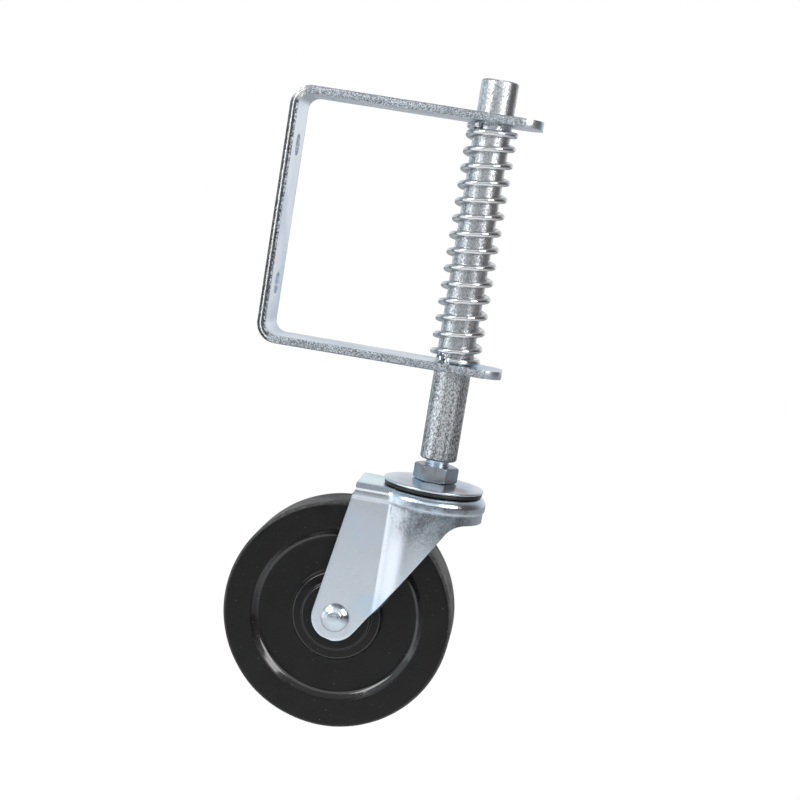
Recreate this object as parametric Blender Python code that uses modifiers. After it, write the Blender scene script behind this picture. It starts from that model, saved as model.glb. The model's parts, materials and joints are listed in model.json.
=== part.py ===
"""A spring-loaded gate wheel: a strap bracket that bolts to a gate, a rod that slides in it against a
compression spring, and a swivelling fork with a hard rubber wheel at the rod's foot.

Metres, +Z up. The origin is the centre of the bracket's gate face. +X points from the gate to the rod,
and the wheel trails back towards the gate.
"""

import math

import bmesh
import bpy
from mathutils import Matrix, Vector

MM = 0.001
GAP = 0.3 * MM

# The bracket, bent from flat strap.
STRAP_WIDTH = 35.0 * MM
STRAP_THICK = 4.4 * MM
BRACKET_HEIGHT = 139.5 * MM
BRACKET_REACH = 134.9 * MM
BEND_RADIUS = 11.0 * MM
LEG_END_RADIUS = 12.5 * MM
GATE_HOLE_RADIUS = 6.0 * MM
GATE_HOLE_SPACING = 76.2 * MM

# The sliding rod, its stop pin and its spring.
ROD_X = 108.1 * MM
ROD_RADIUS = 10.2 * MM
ROD_TOP = 88.2 * MM
ROD_BOTTOM = -119.3 * MM
ROD_CHAMFER = 0.9 * MM
ROD_SLIDE_GAP = 0.35 * MM
PIN_RADIUS = 1.9 * MM
PIN_REACH = 14.2 * MM
PIN_AZIMUTH = math.radians(-127)
WIRE_RADIUS = 1.75 * MM
COIL_RADIUS = 12.45 * MM
COIL_TURNS = 14.95
COIL_START = math.radians(-105)
COIL_POINTS_PER_TURN = 16

# The swivel: king bolt, nut, domed plate, two ball rows.
STEM_RADIUS = 6.35 * MM
STEM_TOP = -98.0 * MM
NUT_FLATS = 21.4 * MM
NUT_TOP = -122.6 * MM
NUT_HEIGHT = 8.4 * MM
PLATE_RADIUS = 27.8 * MM
PLATE_DOME = 1.4 * MM
PLATE_THICK = 2.2 * MM
UPPER_BALL_RADIUS = 2.38 * MM
UPPER_RACE_RADIUS = 18.5 * MM
UPPER_BALLS = 12
LOWER_BALL_RADIUS = 2.0 * MM
LOWER_RACE_RADIUS = 12.0 * MM
LOWER_BALLS = 10
KING_HEAD_FLATS = 19.0 * MM
KING_HEAD_HEIGHT = 4.6 * MM

# The fork.
SHEET = 2.6 * MM
FORK_TOP = -136.5 * MM
FORK_HALF_WIDTH = 21.8 * MM
CROWN_RADIUS = 30.1 * MM
CROWN_BOTTOM = -150.0 * MM
FORK_BEND = 4.6 * MM
FORK_BACK_X = 67.5 * MM
LEG_END = 13.0 * MM
LEG_FRONT_LEAN = math.radians(33)
LEG_BACK_LEAN = math.radians(9.9)
CROWN_FILLET = 12.0 * MM
RACE_SEAT_DEPTH = 5.1 * MM
RACE_SEAT_RADIUS = 23.6 * MM

# The wheel and its axle.
AXLE_X = 67.6 * MM
AXLE_Z = -212.4 * MM
AXLE_RADIUS = 5.0 * MM
AXLE_HEAD_RADIUS = 7.6 * MM
AXLE_HEAD_HEIGHT = 3.2 * MM
WHEEL_RADIUS = 63.5 * MM
WHEEL_HALF_WIDTH = 16.2 * MM
WHEEL_SHOULDER = 2.6 * MM
WEB_RADIUS = 46.3 * MM
WEB_DEPTH = 3.4 * MM
HUB_RADIUS = 25.5 * MM
HUB_BOSS_RADIUS = 19.8 * MM
HUB_HALF_WIDTH = 17.2 * MM
BORE_RADIUS = 9.5 * MM
SLEEVE_RADIUS = 6.7 * MM
WASHER_RADIUS = 12.0 * MM
WASHER_THICK = 1.3 * MM

LEG_INNER = BRACKET_HEIGHT / 2 - STRAP_THICK
PLATE_TOP = NUT_TOP - NUT_HEIGHT - GAP
PLATE_RIM = PLATE_TOP - PLATE_DOME
PLATE_UNDER = PLATE_RIM - PLATE_THICK + 0.8 * MM
UPPER_BALL_Z = (PLATE_UNDER + FORK_TOP) / 2 - 0.9 * MM
CROWN_UNDER = FORK_TOP - RACE_SEAT_DEPTH
LOWER_BALL_Z = CROWN_UNDER - 1.5 * MM
CUP_TOP = LOWER_BALL_Z - 0.7 * MM
CUP_BOTTOM = CUP_TOP - 3.2 * MM
FORK_GAP = FORK_HALF_WIDTH - SHEET

COLOURS = {
    "zinc": ((0.62, 0.64, 0.66), 0.32, 1.0),
    "spring_steel": ((0.66, 0.68, 0.70), 0.22, 1.0),
    "ball_steel": ((0.70, 0.71, 0.72), 0.15, 1.0),
    "hard_rubber": ((0.02, 0.02, 0.021), 0.45, 0.0),
    "seal_rubber": ((0.012, 0.012, 0.012), 0.6, 0.0),
}


def clear_scene():
    for obj in list(bpy.data.objects):
        bpy.data.objects.remove(obj, do_unlink=True)


def collection(name):
    made = bpy.data.collections.new(name)
    bpy.context.scene.collection.children.link(made)
    return made


def material(name):
    colour, roughness, metallic = COLOURS[name]
    made = bpy.data.materials.new(name)
    made.use_nodes = True
    shader = made.node_tree.nodes["Principled BSDF"]
    shader.inputs["Base Color"].default_value = (*colour, 1.0)
    shader.inputs["Roughness"].default_value = roughness
    shader.inputs["Metallic"].default_value = metallic
    return made


def mesh_object(name, shape, home):
    """An object of this bmesh, in this collection."""
    mesh = bpy.data.meshes.new(name)
    shape.to_mesh(mesh)
    shape.free()
    obj = bpy.data.objects.new(name, mesh)
    home.objects.link(obj)
    return obj


def baked(obj):
    """The object as its modifiers or its curve leave it, welded, as a plain mesh in the same place."""
    bpy.context.view_layer.update()
    graph = bpy.context.evaluated_depsgraph_get()
    mesh = bpy.data.meshes.new_from_object(obj.evaluated_get(graph))
    shape = bmesh.new()
    shape.from_mesh(mesh)
    bmesh.ops.remove_doubles(shape, verts=shape.verts, dist=1e-6)
    bmesh.ops.recalc_face_normals(shape, faces=shape.faces)
    shape.to_mesh(mesh)
    shape.free()
    made = bpy.data.objects.new(obj.name, mesh)
    made.matrix_world = obj.matrix_world.copy()
    obj.users_collection[0].objects.link(made)
    name = obj.name
    bpy.data.objects.remove(obj, do_unlink=True)
    made.name = name
    return made


def cutter(obj):
    """Marks a helper that shapes other pieces and is no piece itself."""
    obj.hide_render = True
    obj.display_type = "WIRE"
    return obj


def combine(obj, other, operation):
    modifier = obj.modifiers.new(operation.lower(), "BOOLEAN")
    modifier.operation = operation
    modifier.object = other
    modifier.solver = "EXACT"
    return modifier


def turned(name, profile, home, steps, ring=False):
    """A profile of (radius, height) points, top to bottom down its outer side, turned about Z.

    A ring's profile closes on itself. Any other starts and ends on the axis.
    """
    shape = bmesh.new()
    points = [shape.verts.new((radius, 0, height)) for radius, height in profile]
    for first, second in zip(points, points[1:]):
        shape.edges.new((first, second))
    if ring:
        shape.edges.new((points[-1], points[0]))
    obj = mesh_object(name, shape, home)
    screw = obj.modifiers.new("turn", "SCREW")
    screw.angle = 2 * math.pi
    screw.steps = steps
    screw.render_steps = steps
    screw.use_merge_vertices = True
    screw.merge_threshold = 1e-6
    return baked(obj)


def outline_plate(name, outline, half_thickness, home, upright=False):
    """A flat outline with thickness: drawn in X and Y or, if upright, in X and Z."""
    curve = bpy.data.curves.new(name, "CURVE")
    curve.dimensions = "2D"
    curve.fill_mode = "BOTH"
    curve.extrude = half_thickness
    spline = curve.splines.new("POLY")
    spline.points.add(len(outline) - 1)
    for point, (across, up) in zip(spline.points, outline):
        point.co = (across, up, 0, 1)
    spline.use_cyclic_u = True
    obj = bpy.data.objects.new(name, curve)
    home.objects.link(obj)
    if upright:
        obj.rotation_euler = (math.pi / 2, 0, 0)
    return baked(obj)


def arc(centre, radius, start, end, count):
    """Points along an arc, with angles in degrees, both ends included."""
    angles = [math.radians(start + (end - start) * i / (count - 1)) for i in range(count)]
    return [(centre[0] + radius * math.cos(a), centre[1] + radius * math.sin(a)) for a in angles]


def rod_shape(name, radius, start, end, home, steps=32):
    """A plain round bar between two points."""
    start = Vector(start)
    along = Vector(end) - start
    shape = bmesh.new()
    bmesh.ops.create_cone(
        shape, cap_ends=True, segments=steps, radius1=radius, radius2=radius, depth=along.length
    )
    turn = along.to_track_quat("Z", "Y").to_matrix().to_4x4()
    shape.transform(Matrix.Translation(start + along / 2) @ turn)
    return mesh_object(name, shape, home)


def hex_bar(name, flats, bottom, top, home):
    """A hexagonal bar about the rod's axis, with two of its flats facing +Y and -Y."""
    corner = flats / math.sqrt(3)
    outline = [
        (corner * math.cos(math.radians(60 * i)), corner * math.sin(math.radians(60 * i)))
        for i in range(6)
    ]
    obj = outline_plate(name, outline, (top - bottom) / 2, home)
    obj.location = (ROD_X, 0, (top + bottom) / 2)
    return obj


def finish(obj, look, parent, smooth=True):
    """Gives a piece its material and its shading, and hangs it from its body's empty."""
    obj.data.materials.clear()
    obj.data.materials.append(look)
    if smooth:
        obj.data.shade_smooth()
        obj.data.set_sharp_from_angle(angle=math.radians(32))
    bpy.context.view_layer.update()
    place = obj.matrix_world.copy()
    obj.parent = parent
    obj.matrix_world = place
    return obj


def empty(name, place, home, parent=None):
    made = bpy.data.objects.new(name, None)
    home.objects.link(made)
    made.parent = parent
    made.location = Vector(place) - (parent.matrix_world.translation if parent else Vector())
    bpy.context.view_layer.update()
    return made


def bracket(home, helpers):
    """The strap bent to a C, with rounded leg ends, two gate holes and two rod holes."""
    top = BRACKET_HEIGHT / 2
    outer = BEND_RADIUS
    inner = BEND_RADIUS - STRAP_THICK
    outline = [(BRACKET_REACH, top)]
    outline += arc((outer, top - outer), outer, 90, 180, 7)
    outline += arc((outer, outer - top), outer, 180, 270, 7)
    outline += [(BRACKET_REACH, -top), (BRACKET_REACH, -LEG_INNER)]
    outline += arc((outer, outer - top), inner, 270, 180, 7)
    outline += arc((outer, top - outer), inner, 180, 90, 7)
    outline += [(BRACKET_REACH, LEG_INNER)]
    strap = outline_plate("gate_bracket", outline, STRAP_WIDTH / 2, home, upright=True)

    half = STRAP_WIDTH / 2
    reach = BRACKET_REACH - LEG_END_RADIUS
    ends = [(-10 * MM, -half - MM), (reach - 4 * MM, -half - MM), (reach - 4 * MM, -half)]
    ends += arc((reach, LEG_END_RADIUS - half), LEG_END_RADIUS, -90, 0, 8)
    ends += arc((reach, half - LEG_END_RADIUS), LEG_END_RADIUS, 0, 90, 8)
    ends += [(reach - 4 * MM, half), (reach - 4 * MM, half + MM), (-10 * MM, half + MM)]
    combine(strap, cutter(outline_plate("leg_end_shape", ends, top + 5 * MM, helpers)), "INTERSECT")

    hole = ROD_RADIUS + ROD_SLIDE_GAP
    rod_hole = rod_shape("rod_holes", hole, (ROD_X, 0, -top - MM), (ROD_X, 0, top + MM), helpers, 40)
    combine(strap, cutter(rod_hole), "DIFFERENCE")
    for side, height in (("upper", 1), ("lower", -1)):
        z = height * GATE_HOLE_SPACING / 2
        gate_hole = rod_shape(
            f"{side}_gate_hole", GATE_HOLE_RADIUS, (-MM, 0, z), (STRAP_THICK + MM, 0, z), helpers, 28
        )
        combine(strap, cutter(gate_hole), "DIFFERENCE")
    return baked(strap)


def coil_height(turn):
    """The wire's height after this many turns: even pitch, closing up at each end."""
    bottom = -LEG_INNER + GAP + WIRE_RADIUS
    top = LEG_INNER - GAP - WIRE_RADIUS
    first_rise = 4.75 * MM
    last_turn = COIL_TURNS - 1
    last_rise = 3.75 * MM
    pitch = (top - bottom - first_rise - last_rise) / (last_turn - 1)
    if turn < 1:
        return bottom + first_rise * turn ** 2
    if turn < last_turn:
        return bottom + first_rise + pitch * (turn - 1)
    return top - last_rise * (COIL_TURNS - turn)


def spring(home):
    curve = bpy.data.curves.new("compression_spring", "CURVE")
    curve.dimensions = "3D"
    curve.bevel_depth = WIRE_RADIUS
    curve.bevel_resolution = 2
    curve.use_fill_caps = True
    count = int(COIL_TURNS * COIL_POINTS_PER_TURN)
    spline = curve.splines.new("POLY")
    spline.points.add(count)
    for i, point in enumerate(spline.points):
        turn = COIL_TURNS * i / count
        angle = COIL_START + 2 * math.pi * turn
        point.co = (
            ROD_X + COIL_RADIUS * math.cos(angle),
            COIL_RADIUS * math.sin(angle),
            coil_height(turn),
            1,
        )
    obj = bpy.data.objects.new("compression_spring", curve)
    home.objects.link(obj)
    return baked(obj)


def pin_direction():
    return Vector((math.cos(PIN_AZIMUTH), math.sin(PIN_AZIMUTH), 0))


def plunger_rod(home, helpers):
    """The bar, chamfered at both ends, with the stem's hole in its foot and a cross hole for the pin."""
    hole = STEM_RADIUS + GAP
    profile = [
        (0, ROD_TOP),
        (ROD_RADIUS - ROD_CHAMFER, ROD_TOP),
        (ROD_RADIUS, ROD_TOP - ROD_CHAMFER),
        (ROD_RADIUS, ROD_BOTTOM + ROD_CHAMFER),
        (ROD_RADIUS - ROD_CHAMFER, ROD_BOTTOM),
        (hole, ROD_BOTTOM),
        (hole, STEM_TOP + GAP),
        (0, STEM_TOP + 3 * MM),
    ]
    bar = turned("plunger_rod", profile, home, 40)
    bar.location = (ROD_X, 0, 0)
    centre = Vector((ROD_X, 0, pin_height()))
    reach = pin_direction() * 20 * MM
    cross = rod_shape("pin_hole", PIN_RADIUS + GAP, centre - reach, centre + reach, helpers, 20)
    combine(bar, cutter(cross), "DIFFERENCE")
    return baked(bar)


def pin_height():
    return -LEG_INNER + GAP + PIN_RADIUS


def stop_pin(home):
    """Stands out of the rod on one side only. Its other end is flush with the rod."""
    centre = Vector((ROD_X, 0, pin_height()))
    along = pin_direction()
    return rod_shape(
        "stop_pin", PIN_RADIUS, centre - along * (ROD_RADIUS - 0.4 * MM), centre + along * PIN_REACH, home, 20
    )


def jam_nut(home, helpers):
    """A plain hexagon nut, its corners turned off at both ends."""
    bottom = NUT_TOP - NUT_HEIGHT
    nut = hex_bar("jam_nut", NUT_FLATS, bottom, NUT_TOP, home)
    corner = NUT_FLATS / math.sqrt(3)
    edge = NUT_FLATS / 2 + 0.3 * MM
    drop = 0.7 * MM
    profile = [
        (0, NUT_TOP + GAP),
        (edge, NUT_TOP + GAP),
        (edge, NUT_TOP),
        (corner + MM, NUT_TOP - drop * (corner + MM - edge) / (corner - edge)),
        (corner + MM, bottom - MM),
        (0, bottom - MM),
    ]
    cap = turned("nut_corner_shape", profile, helpers, 48)
    cap.location = (ROD_X, 0, 0)
    combine(nut, cutter(cap), "INTERSECT")
    bore = rod_shape(
        "nut_bore", STEM_RADIUS + GAP, (ROD_X, 0, bottom - MM), (ROD_X, 0, NUT_TOP + MM), helpers, 32
    )
    combine(nut, cutter(bore), "DIFFERENCE")
    return baked(nut)


def king_bolt(home):
    """Head under the lower cup, shank up through the swivel and the nut into the rod."""
    head_top = CUP_BOTTOM - GAP
    head = hex_bar("king_bolt", KING_HEAD_FLATS, head_top - KING_HEAD_HEIGHT, head_top, home)
    profile = [
        (0, STEM_TOP - GAP),
        (STEM_RADIUS - MM, STEM_TOP - GAP),
        (STEM_RADIUS, STEM_TOP - 1.3 * MM),
        (STEM_RADIUS, head_top - MM),
        (0, head_top - MM),
    ]
    shank = turned("king_bolt_shank", profile, home, 32)
    shank.location = (ROD_X, 0, 0)
    combine(head, shank, "UNION")
    made = baked(head)
    bpy.data.objects.remove(shank, do_unlink=True)
    return made


def race(radius, ball_radius, ball_z, count=6, below=True):
    """A groove's points across a ball row, from the outside in, on the side below or above the balls."""
    groove = ball_radius + GAP
    start, end = (-35, -145) if below else (35, 145)
    return arc((radius, ball_z), groove, start, end, count)


def top_plate(home):
    """The domed plate under the nut, with the upper row's groove pressed in its underside."""
    bore = STEM_RADIUS + GAP
    rim = 1.3 * MM
    profile = [
        (bore, PLATE_TOP),
        (13.5 * MM, PLATE_TOP),
        (20.0 * MM, PLATE_TOP - 0.35 * PLATE_DOME),
        (25.0 * MM, PLATE_TOP - 0.75 * PLATE_DOME),
        (PLATE_RADIUS - 0.4 * MM, PLATE_RIM),
        (PLATE_RADIUS, PLATE_RIM - 0.5 * MM),
        (PLATE_RADIUS - 0.2 * MM, PLATE_RIM - rim),
        (23.5 * MM, PLATE_UNDER),
    ]
    groove = race(UPPER_RACE_RADIUS, UPPER_BALL_RADIUS, UPPER_BALL_Z, below=False)
    profile += [point for point in groove if point[1] > PLATE_UNDER]
    profile += [(bore, PLATE_UNDER)]
    plate = turned("top_plate", profile, home, 48, ring=True)
    plate.location = (ROD_X, 0, 0)
    return plate


def dust_seal(home):
    top = PLATE_RIM - 1.3 * MM - GAP
    bottom = FORK_TOP + GAP
    outer = PLATE_RADIUS - 0.5 * MM
    inner = 23.9 * MM
    corner = 0.4 * MM
    profile = [(inner, top), (outer - corner, top), (outer, top - corner), (outer, bottom), (inner, bottom)]
    seal = turned("dust_seal", profile, home, 48, ring=True)
    seal.location = (ROD_X, 0, 0)
    return seal


def lower_cup(home):
    """The dished washer on the bolt's head that carries the lower ball row."""
    bore = STEM_RADIUS + GAP
    profile = [(16.0 * MM, CUP_TOP), (16.6 * MM, CUP_TOP - 0.6 * MM), (15.2 * MM, CUP_BOTTOM)]
    profile += [(bore, CUP_BOTTOM), (bore, CUP_TOP)]
    groove = race(LOWER_RACE_RADIUS, LOWER_BALL_RADIUS, LOWER_BALL_Z, below=True)
    profile += [point for point in reversed(groove) if point[1] < CUP_TOP]
    cup = turned("lower_race_cup", profile, home, 32, ring=True)
    cup.location = (ROD_X, 0, 0)
    return cup


def balls(prefix, count, race_radius, ball_radius, height, home):
    made = []
    for i in range(count):
        angle = 2 * math.pi * (i + 0.5) / count
        shape = bmesh.new()
        bmesh.ops.create_uvsphere(shape, u_segments=8, v_segments=6, radius=ball_radius)
        ball = mesh_object(f"{prefix}_{i + 1:02d}", shape, home)
        ball.location = (
            ROD_X + race_radius * math.cos(angle),
            race_radius * math.sin(angle),
            height,
        )
        made.append(ball)
    return made


def plan_block(name, half_width, radius, back, top, bottom, bend, home):
    """The fork seen from above, as a solid: a round crown run back into a straight-sided tail.

    Its top edge is rounded by the bend's radius.
    """
    meet = math.degrees(math.asin(half_width / radius))
    outline = arc((ROD_X, 0), radius, meet - 180, 180 - meet, 41)
    outline += [(back, half_width), (back, -half_width)]
    block = outline_plate(name, outline, (top - bottom) / 2, home)
    block.location = (0, 0, (top + bottom) / 2)
    shape = bmesh.new()
    shape.from_mesh(block.data)
    up = max(vertex.co.z for vertex in shape.verts)
    bmesh.ops.dissolve_limit(
        shape, angle_limit=math.radians(0.5), verts=shape.verts[:], edges=shape.edges[:]
    )
    rim = [
        edge
        for edge in shape.edges
        if all(vertex.co.z > up - 1e-6 for vertex in edge.verts)
        and len({face.normal.z > 0.9 for face in edge.link_faces}) == 2
    ]
    bmesh.ops.bevel(
        shape, geom=rim, offset=bend, segments=4, profile=0.5, affect="EDGES", clamp_overlap=True
    )
    shape.to_mesh(block.data)
    shape.free()
    return baked(block)


def side_outline():
    """The fork seen from the side, in X and Z: crown, concave fillet, leaning leg and round end."""
    far = 145 * MM
    axle = (AXLE_X, AXLE_Z)
    front = -math.degrees(LEG_FRONT_LEAN)
    outline = [(far, 0), (FORK_BACK_X, 0), (FORK_BACK_X, FORK_TOP - 4 * MM)]
    leg = arc(axle, LEG_END, 180 - math.degrees(LEG_BACK_LEAN), 360 + front, 15)
    outline += leg
    slope = math.tan(math.radians(90) - LEG_FRONT_LEAN)
    foot = leg[-1]
    turn = CROWN_FILLET
    tangent = turn * math.tan(math.radians(90 - math.degrees(LEG_FRONT_LEAN)) / 2)
    corner_x = foot[0] + (CROWN_BOTTOM - foot[1]) / slope
    centre = (corner_x + tangent, CROWN_BOTTOM - turn)
    outline += arc(centre, turn, 180 + front, 90, 7)
    outline += [(far, CROWN_BOTTOM)]
    return outline


def race_seat(helpers):
    """The crown's pressed middle, with a ball groove on each side and the king bolt's clearance hole."""
    bore = STEM_RADIUS + MM
    top = FORK_TOP - 0.2 * MM
    upper = race(UPPER_RACE_RADIUS, UPPER_BALL_RADIUS, UPPER_BALL_Z, below=True)
    lower = race(LOWER_RACE_RADIUS, LOWER_BALL_RADIUS, LOWER_BALL_Z, below=False)
    profile = [(bore, top)]
    profile += [point for point in reversed(upper) if point[1] < top]
    profile += [
        (RACE_SEAT_RADIUS - 1.2 * MM, top),
        (RACE_SEAT_RADIUS, top - 0.6 * MM),
        (RACE_SEAT_RADIUS, FORK_TOP - SHEET + 0.6 * MM),
        (RACE_SEAT_RADIUS - 1.4 * MM, FORK_TOP - SHEET - 0.2 * MM),
        (RACE_SEAT_RADIUS - 2.8 * MM, CROWN_UNDER),
    ]
    profile += [point for point in lower if point[1] > CROWN_UNDER]
    profile += [(bore, CROWN_UNDER)]
    seat = turned("race_seat", profile, helpers, 40, ring=True)
    seat.location = (ROD_X, 0, 0)
    return seat


def fork(home, helpers):
    """Pressed from one sheet: the rounded block, hollowed by the sheet's thickness and trimmed to shape."""
    low = AXLE_Z - 2 * LEG_END
    back = AXLE_X - 2 * LEG_END
    body = plan_block("swivel_fork", FORK_HALF_WIDTH, CROWN_RADIUS, back, FORK_TOP, low, FORK_BEND, home)
    hollow = plan_block(
        "fork_hollow",
        FORK_GAP,
        CROWN_RADIUS - SHEET,
        back - 8 * MM,
        FORK_TOP - SHEET,
        low - 5 * MM,
        FORK_BEND - SHEET,
        helpers,
    )
    combine(body, cutter(hollow), "DIFFERENCE")
    trim = outline_plate("fork_side_shape", side_outline(), 40 * MM, helpers, upright=True)
    combine(body, cutter(trim), "INTERSECT")

    opening = rod_shape(
        "crown_opening",
        RACE_SEAT_RADIUS - 1.2 * MM,
        (ROD_X, 0, CROWN_UNDER - MM),
        (ROD_X, 0, FORK_TOP + MM),
        helpers,
        48,
    )
    combine(body, cutter(opening), "DIFFERENCE")
    combine(body, cutter(race_seat(helpers)), "UNION")

    axle = rod_shape(
        "fork_axle_hole",
        AXLE_RADIUS + GAP,
        (AXLE_X, -40 * MM, AXLE_Z),
        (AXLE_X, 40 * MM, AXLE_Z),
        helpers,
    )
    combine(body, cutter(axle), "DIFFERENCE")
    return baked(body)


def on_axle(obj):
    """Lays a piece that was turned about Z along the axle, its top towards -Y."""
    obj.rotation_euler = (math.pi / 2, 0, 0)
    obj.location = (AXLE_X, 0, AXLE_Z)
    bpy.context.view_layer.update()
    return obj


def axle_rivet(home):
    """A shank with a low domed head at each end."""
    seat = FORK_HALF_WIDTH + GAP
    crown = seat + AXLE_HEAD_HEIGHT
    head = [
        (AXLE_HEAD_RADIUS * 0.35, crown - 0.12 * AXLE_HEAD_HEIGHT),
        (AXLE_HEAD_RADIUS * 0.65, crown - 0.34 * AXLE_HEAD_HEIGHT),
        (AXLE_HEAD_RADIUS * 0.88, crown - 0.62 * AXLE_HEAD_HEIGHT),
        (AXLE_HEAD_RADIUS, seat + 0.6 * MM),
        (AXLE_HEAD_RADIUS - 0.1 * MM, seat),
        (AXLE_RADIUS, seat),
    ]
    profile = [(0, crown)] + head
    profile += [(radius, -height) for radius, height in reversed(head)] + [(0, -crown)]
    return on_axle(turned("axle_rivet", profile, home, 32))


def tube(name, outer, inner, low, high, home, steps=32):
    return on_axle(
        turned(name, [(inner, high), (outer, high), (outer, low), (inner, low)], home, steps, ring=True)
    )


def wheel(home):
    """One moulding: tread, rounded shoulders, recessed web and stepped hub."""
    face = WHEEL_HALF_WIDTH
    web = face - WEB_DEPTH
    half = [
        (BORE_RADIUS, HUB_HALF_WIDTH),
        (HUB_BOSS_RADIUS - 1.2 * MM, HUB_HALF_WIDTH),
        (HUB_BOSS_RADIUS, HUB_HALF_WIDTH - 1.4 * MM),
        (HUB_RADIUS - 1.0 * MM, HUB_HALF_WIDTH - 2.0 * MM),
        (HUB_RADIUS, web),
        (WEB_RADIUS - 0.8 * MM, web),
        (WEB_RADIUS + 0.8 * MM, face),
    ]
    half += arc(
        (WHEEL_RADIUS - WHEEL_SHOULDER, face - WHEEL_SHOULDER), WHEEL_SHOULDER, 90, 0, 4
    )
    profile = half + [(radius, -height) for radius, height in reversed(half)]
    return on_axle(turned("wheel", profile, home, 56, ring=True))


def main():
    clear_scene()
    home = collection("gate_wheel")
    helpers = collection("cutters")
    look = {name: material(name) for name in COLOURS}

    frame = empty("bracket_body", (0, 0, 0), home)
    plunger = empty("plunger_body", (ROD_X, 0, 0), home, frame)
    upper = empty("upper_balls_body", (ROD_X, 0, UPPER_BALL_Z), home, plunger)
    lower = empty("lower_balls_body", (ROD_X, 0, LOWER_BALL_Z), home, plunger)
    swivel = empty("fork_body", (ROD_X, 0, FORK_TOP), home, plunger)
    rolling = empty("wheel_body", (AXLE_X, 0, AXLE_Z), home, swivel)

    finish(bracket(home, helpers), look["zinc"], frame)
    finish(spring(home), look["spring_steel"], frame)

    finish(plunger_rod(home, helpers), look["zinc"], plunger)
    finish(stop_pin(home), look["spring_steel"], plunger)
    finish(jam_nut(home, helpers), look["zinc"], plunger)
    finish(king_bolt(home), look["zinc"], plunger)
    finish(top_plate(home), look["zinc"], plunger)
    finish(dust_seal(home), look["seal_rubber"], plunger)
    finish(lower_cup(home), look["zinc"], plunger)
    rows = (
        ("upper_ball", UPPER_BALLS, UPPER_RACE_RADIUS, UPPER_BALL_RADIUS, UPPER_BALL_Z, upper),
        ("lower_ball", LOWER_BALLS, LOWER_RACE_RADIUS, LOWER_BALL_RADIUS, LOWER_BALL_Z, lower),
    )
    for prefix, count, race_radius, radius, height, body in rows:
        for ball in balls(prefix, count, race_radius, radius, height, home):
            finish(ball, look["ball_steel"], body)

    finish(fork(home, helpers), look["zinc"], swivel)
    finish(axle_rivet(home), look["zinc"], swivel)
    sleeve = FORK_GAP - GAP
    finish(tube("axle_sleeve", SLEEVE_RADIUS, AXLE_RADIUS + GAP, -sleeve, sleeve, home), look["zinc"], swivel)
    for name, side in (("near_washer", 1), ("far_washer", -1)):
        ends = sorted((side * (HUB_HALF_WIDTH + GAP), side * (HUB_HALF_WIDTH + GAP + WASHER_THICK)))
        washer = tube(name, WASHER_RADIUS, SLEEVE_RADIUS + GAP, *ends, home)
        finish(washer, look["zinc"], swivel)

    finish(wheel(home), look["hard_rubber"], rolling)
    liner = HUB_HALF_WIDTH - 0.4 * MM
    liner_radius = BORE_RADIUS - GAP
    lining = tube("hub_liner", liner_radius, SLEEVE_RADIUS + GAP, -liner, liner, home)
    finish(lining, look["spring_steel"], rolling)


main()
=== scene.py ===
"""A spring-loaded gate wheel's finished look: its fine surfaces, its finishes and its studio.

Everything is in metres, in the frame of the solid model: the origin on the bracket's gate face, +X towards
the sliding rod, +Z up. Each piece is a surface worked out from the solid model's own sizes.
"""

import contextlib
import json
import math

import bmesh
import bpy
import numpy as np
from bpy.props import FloatProperty, FloatVectorProperty, IntProperty, PointerProperty
from mathutils import Euler, Matrix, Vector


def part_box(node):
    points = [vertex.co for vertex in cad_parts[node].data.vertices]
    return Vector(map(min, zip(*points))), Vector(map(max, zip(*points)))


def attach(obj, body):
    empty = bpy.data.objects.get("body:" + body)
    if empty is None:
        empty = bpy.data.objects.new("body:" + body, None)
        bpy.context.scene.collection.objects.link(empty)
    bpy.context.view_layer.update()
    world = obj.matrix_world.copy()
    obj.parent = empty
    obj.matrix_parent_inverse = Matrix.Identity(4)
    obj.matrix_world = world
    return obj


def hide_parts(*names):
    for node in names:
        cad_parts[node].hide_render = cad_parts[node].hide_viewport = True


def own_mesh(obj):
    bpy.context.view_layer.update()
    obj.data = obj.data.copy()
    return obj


bl_info = {
    "name": "Gate Wheel",
    "version": (1, 0, 0),
    "blender": (4, 5, 0),
    "location": "View3D > Sidebar > Gate Wheel",
    "description": "Builds a spring-loaded gate wheel's fine surfaces and finishes",
    "category": "Add Mesh",
}

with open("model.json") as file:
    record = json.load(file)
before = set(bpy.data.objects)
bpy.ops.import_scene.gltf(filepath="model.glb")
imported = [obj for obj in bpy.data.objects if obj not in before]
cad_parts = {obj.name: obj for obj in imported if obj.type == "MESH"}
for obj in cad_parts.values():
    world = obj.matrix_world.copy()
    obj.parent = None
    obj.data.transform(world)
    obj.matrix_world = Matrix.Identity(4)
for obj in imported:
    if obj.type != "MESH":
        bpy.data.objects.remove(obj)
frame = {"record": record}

MM = 0.001
TAU = 2 * math.pi


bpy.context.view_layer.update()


def box(node):
    """A solid's lowest and highest corners as arrays."""
    low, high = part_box(node)
    return np.array(low, float), np.array(high, float)


def box_centre(node):
    """The middle of a solid's box."""
    low, high = box(node)
    return (low + high) / 2


def box_size(node):
    """The three sides of a solid's box."""
    low, high = box(node)
    return high - low


ROD_CENTRE = box_centre("plunger_rod")
ROD_RADIUS = box_size("plunger_rod")[0] / 2
AXLE_CENTRE = box_centre("axle_sleeve")
WHEEL_RADIUS = box_size("wheel")[2] / 2
CROWN_TOP = box("swivel_fork")[1][2]
ROD_LINE = (ROD_CENTRE[0], ROD_CENTRE[1], 0)
AXLE_LINE = (AXLE_CENTRE[0], 0, AXLE_CENTRE[2])

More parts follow.
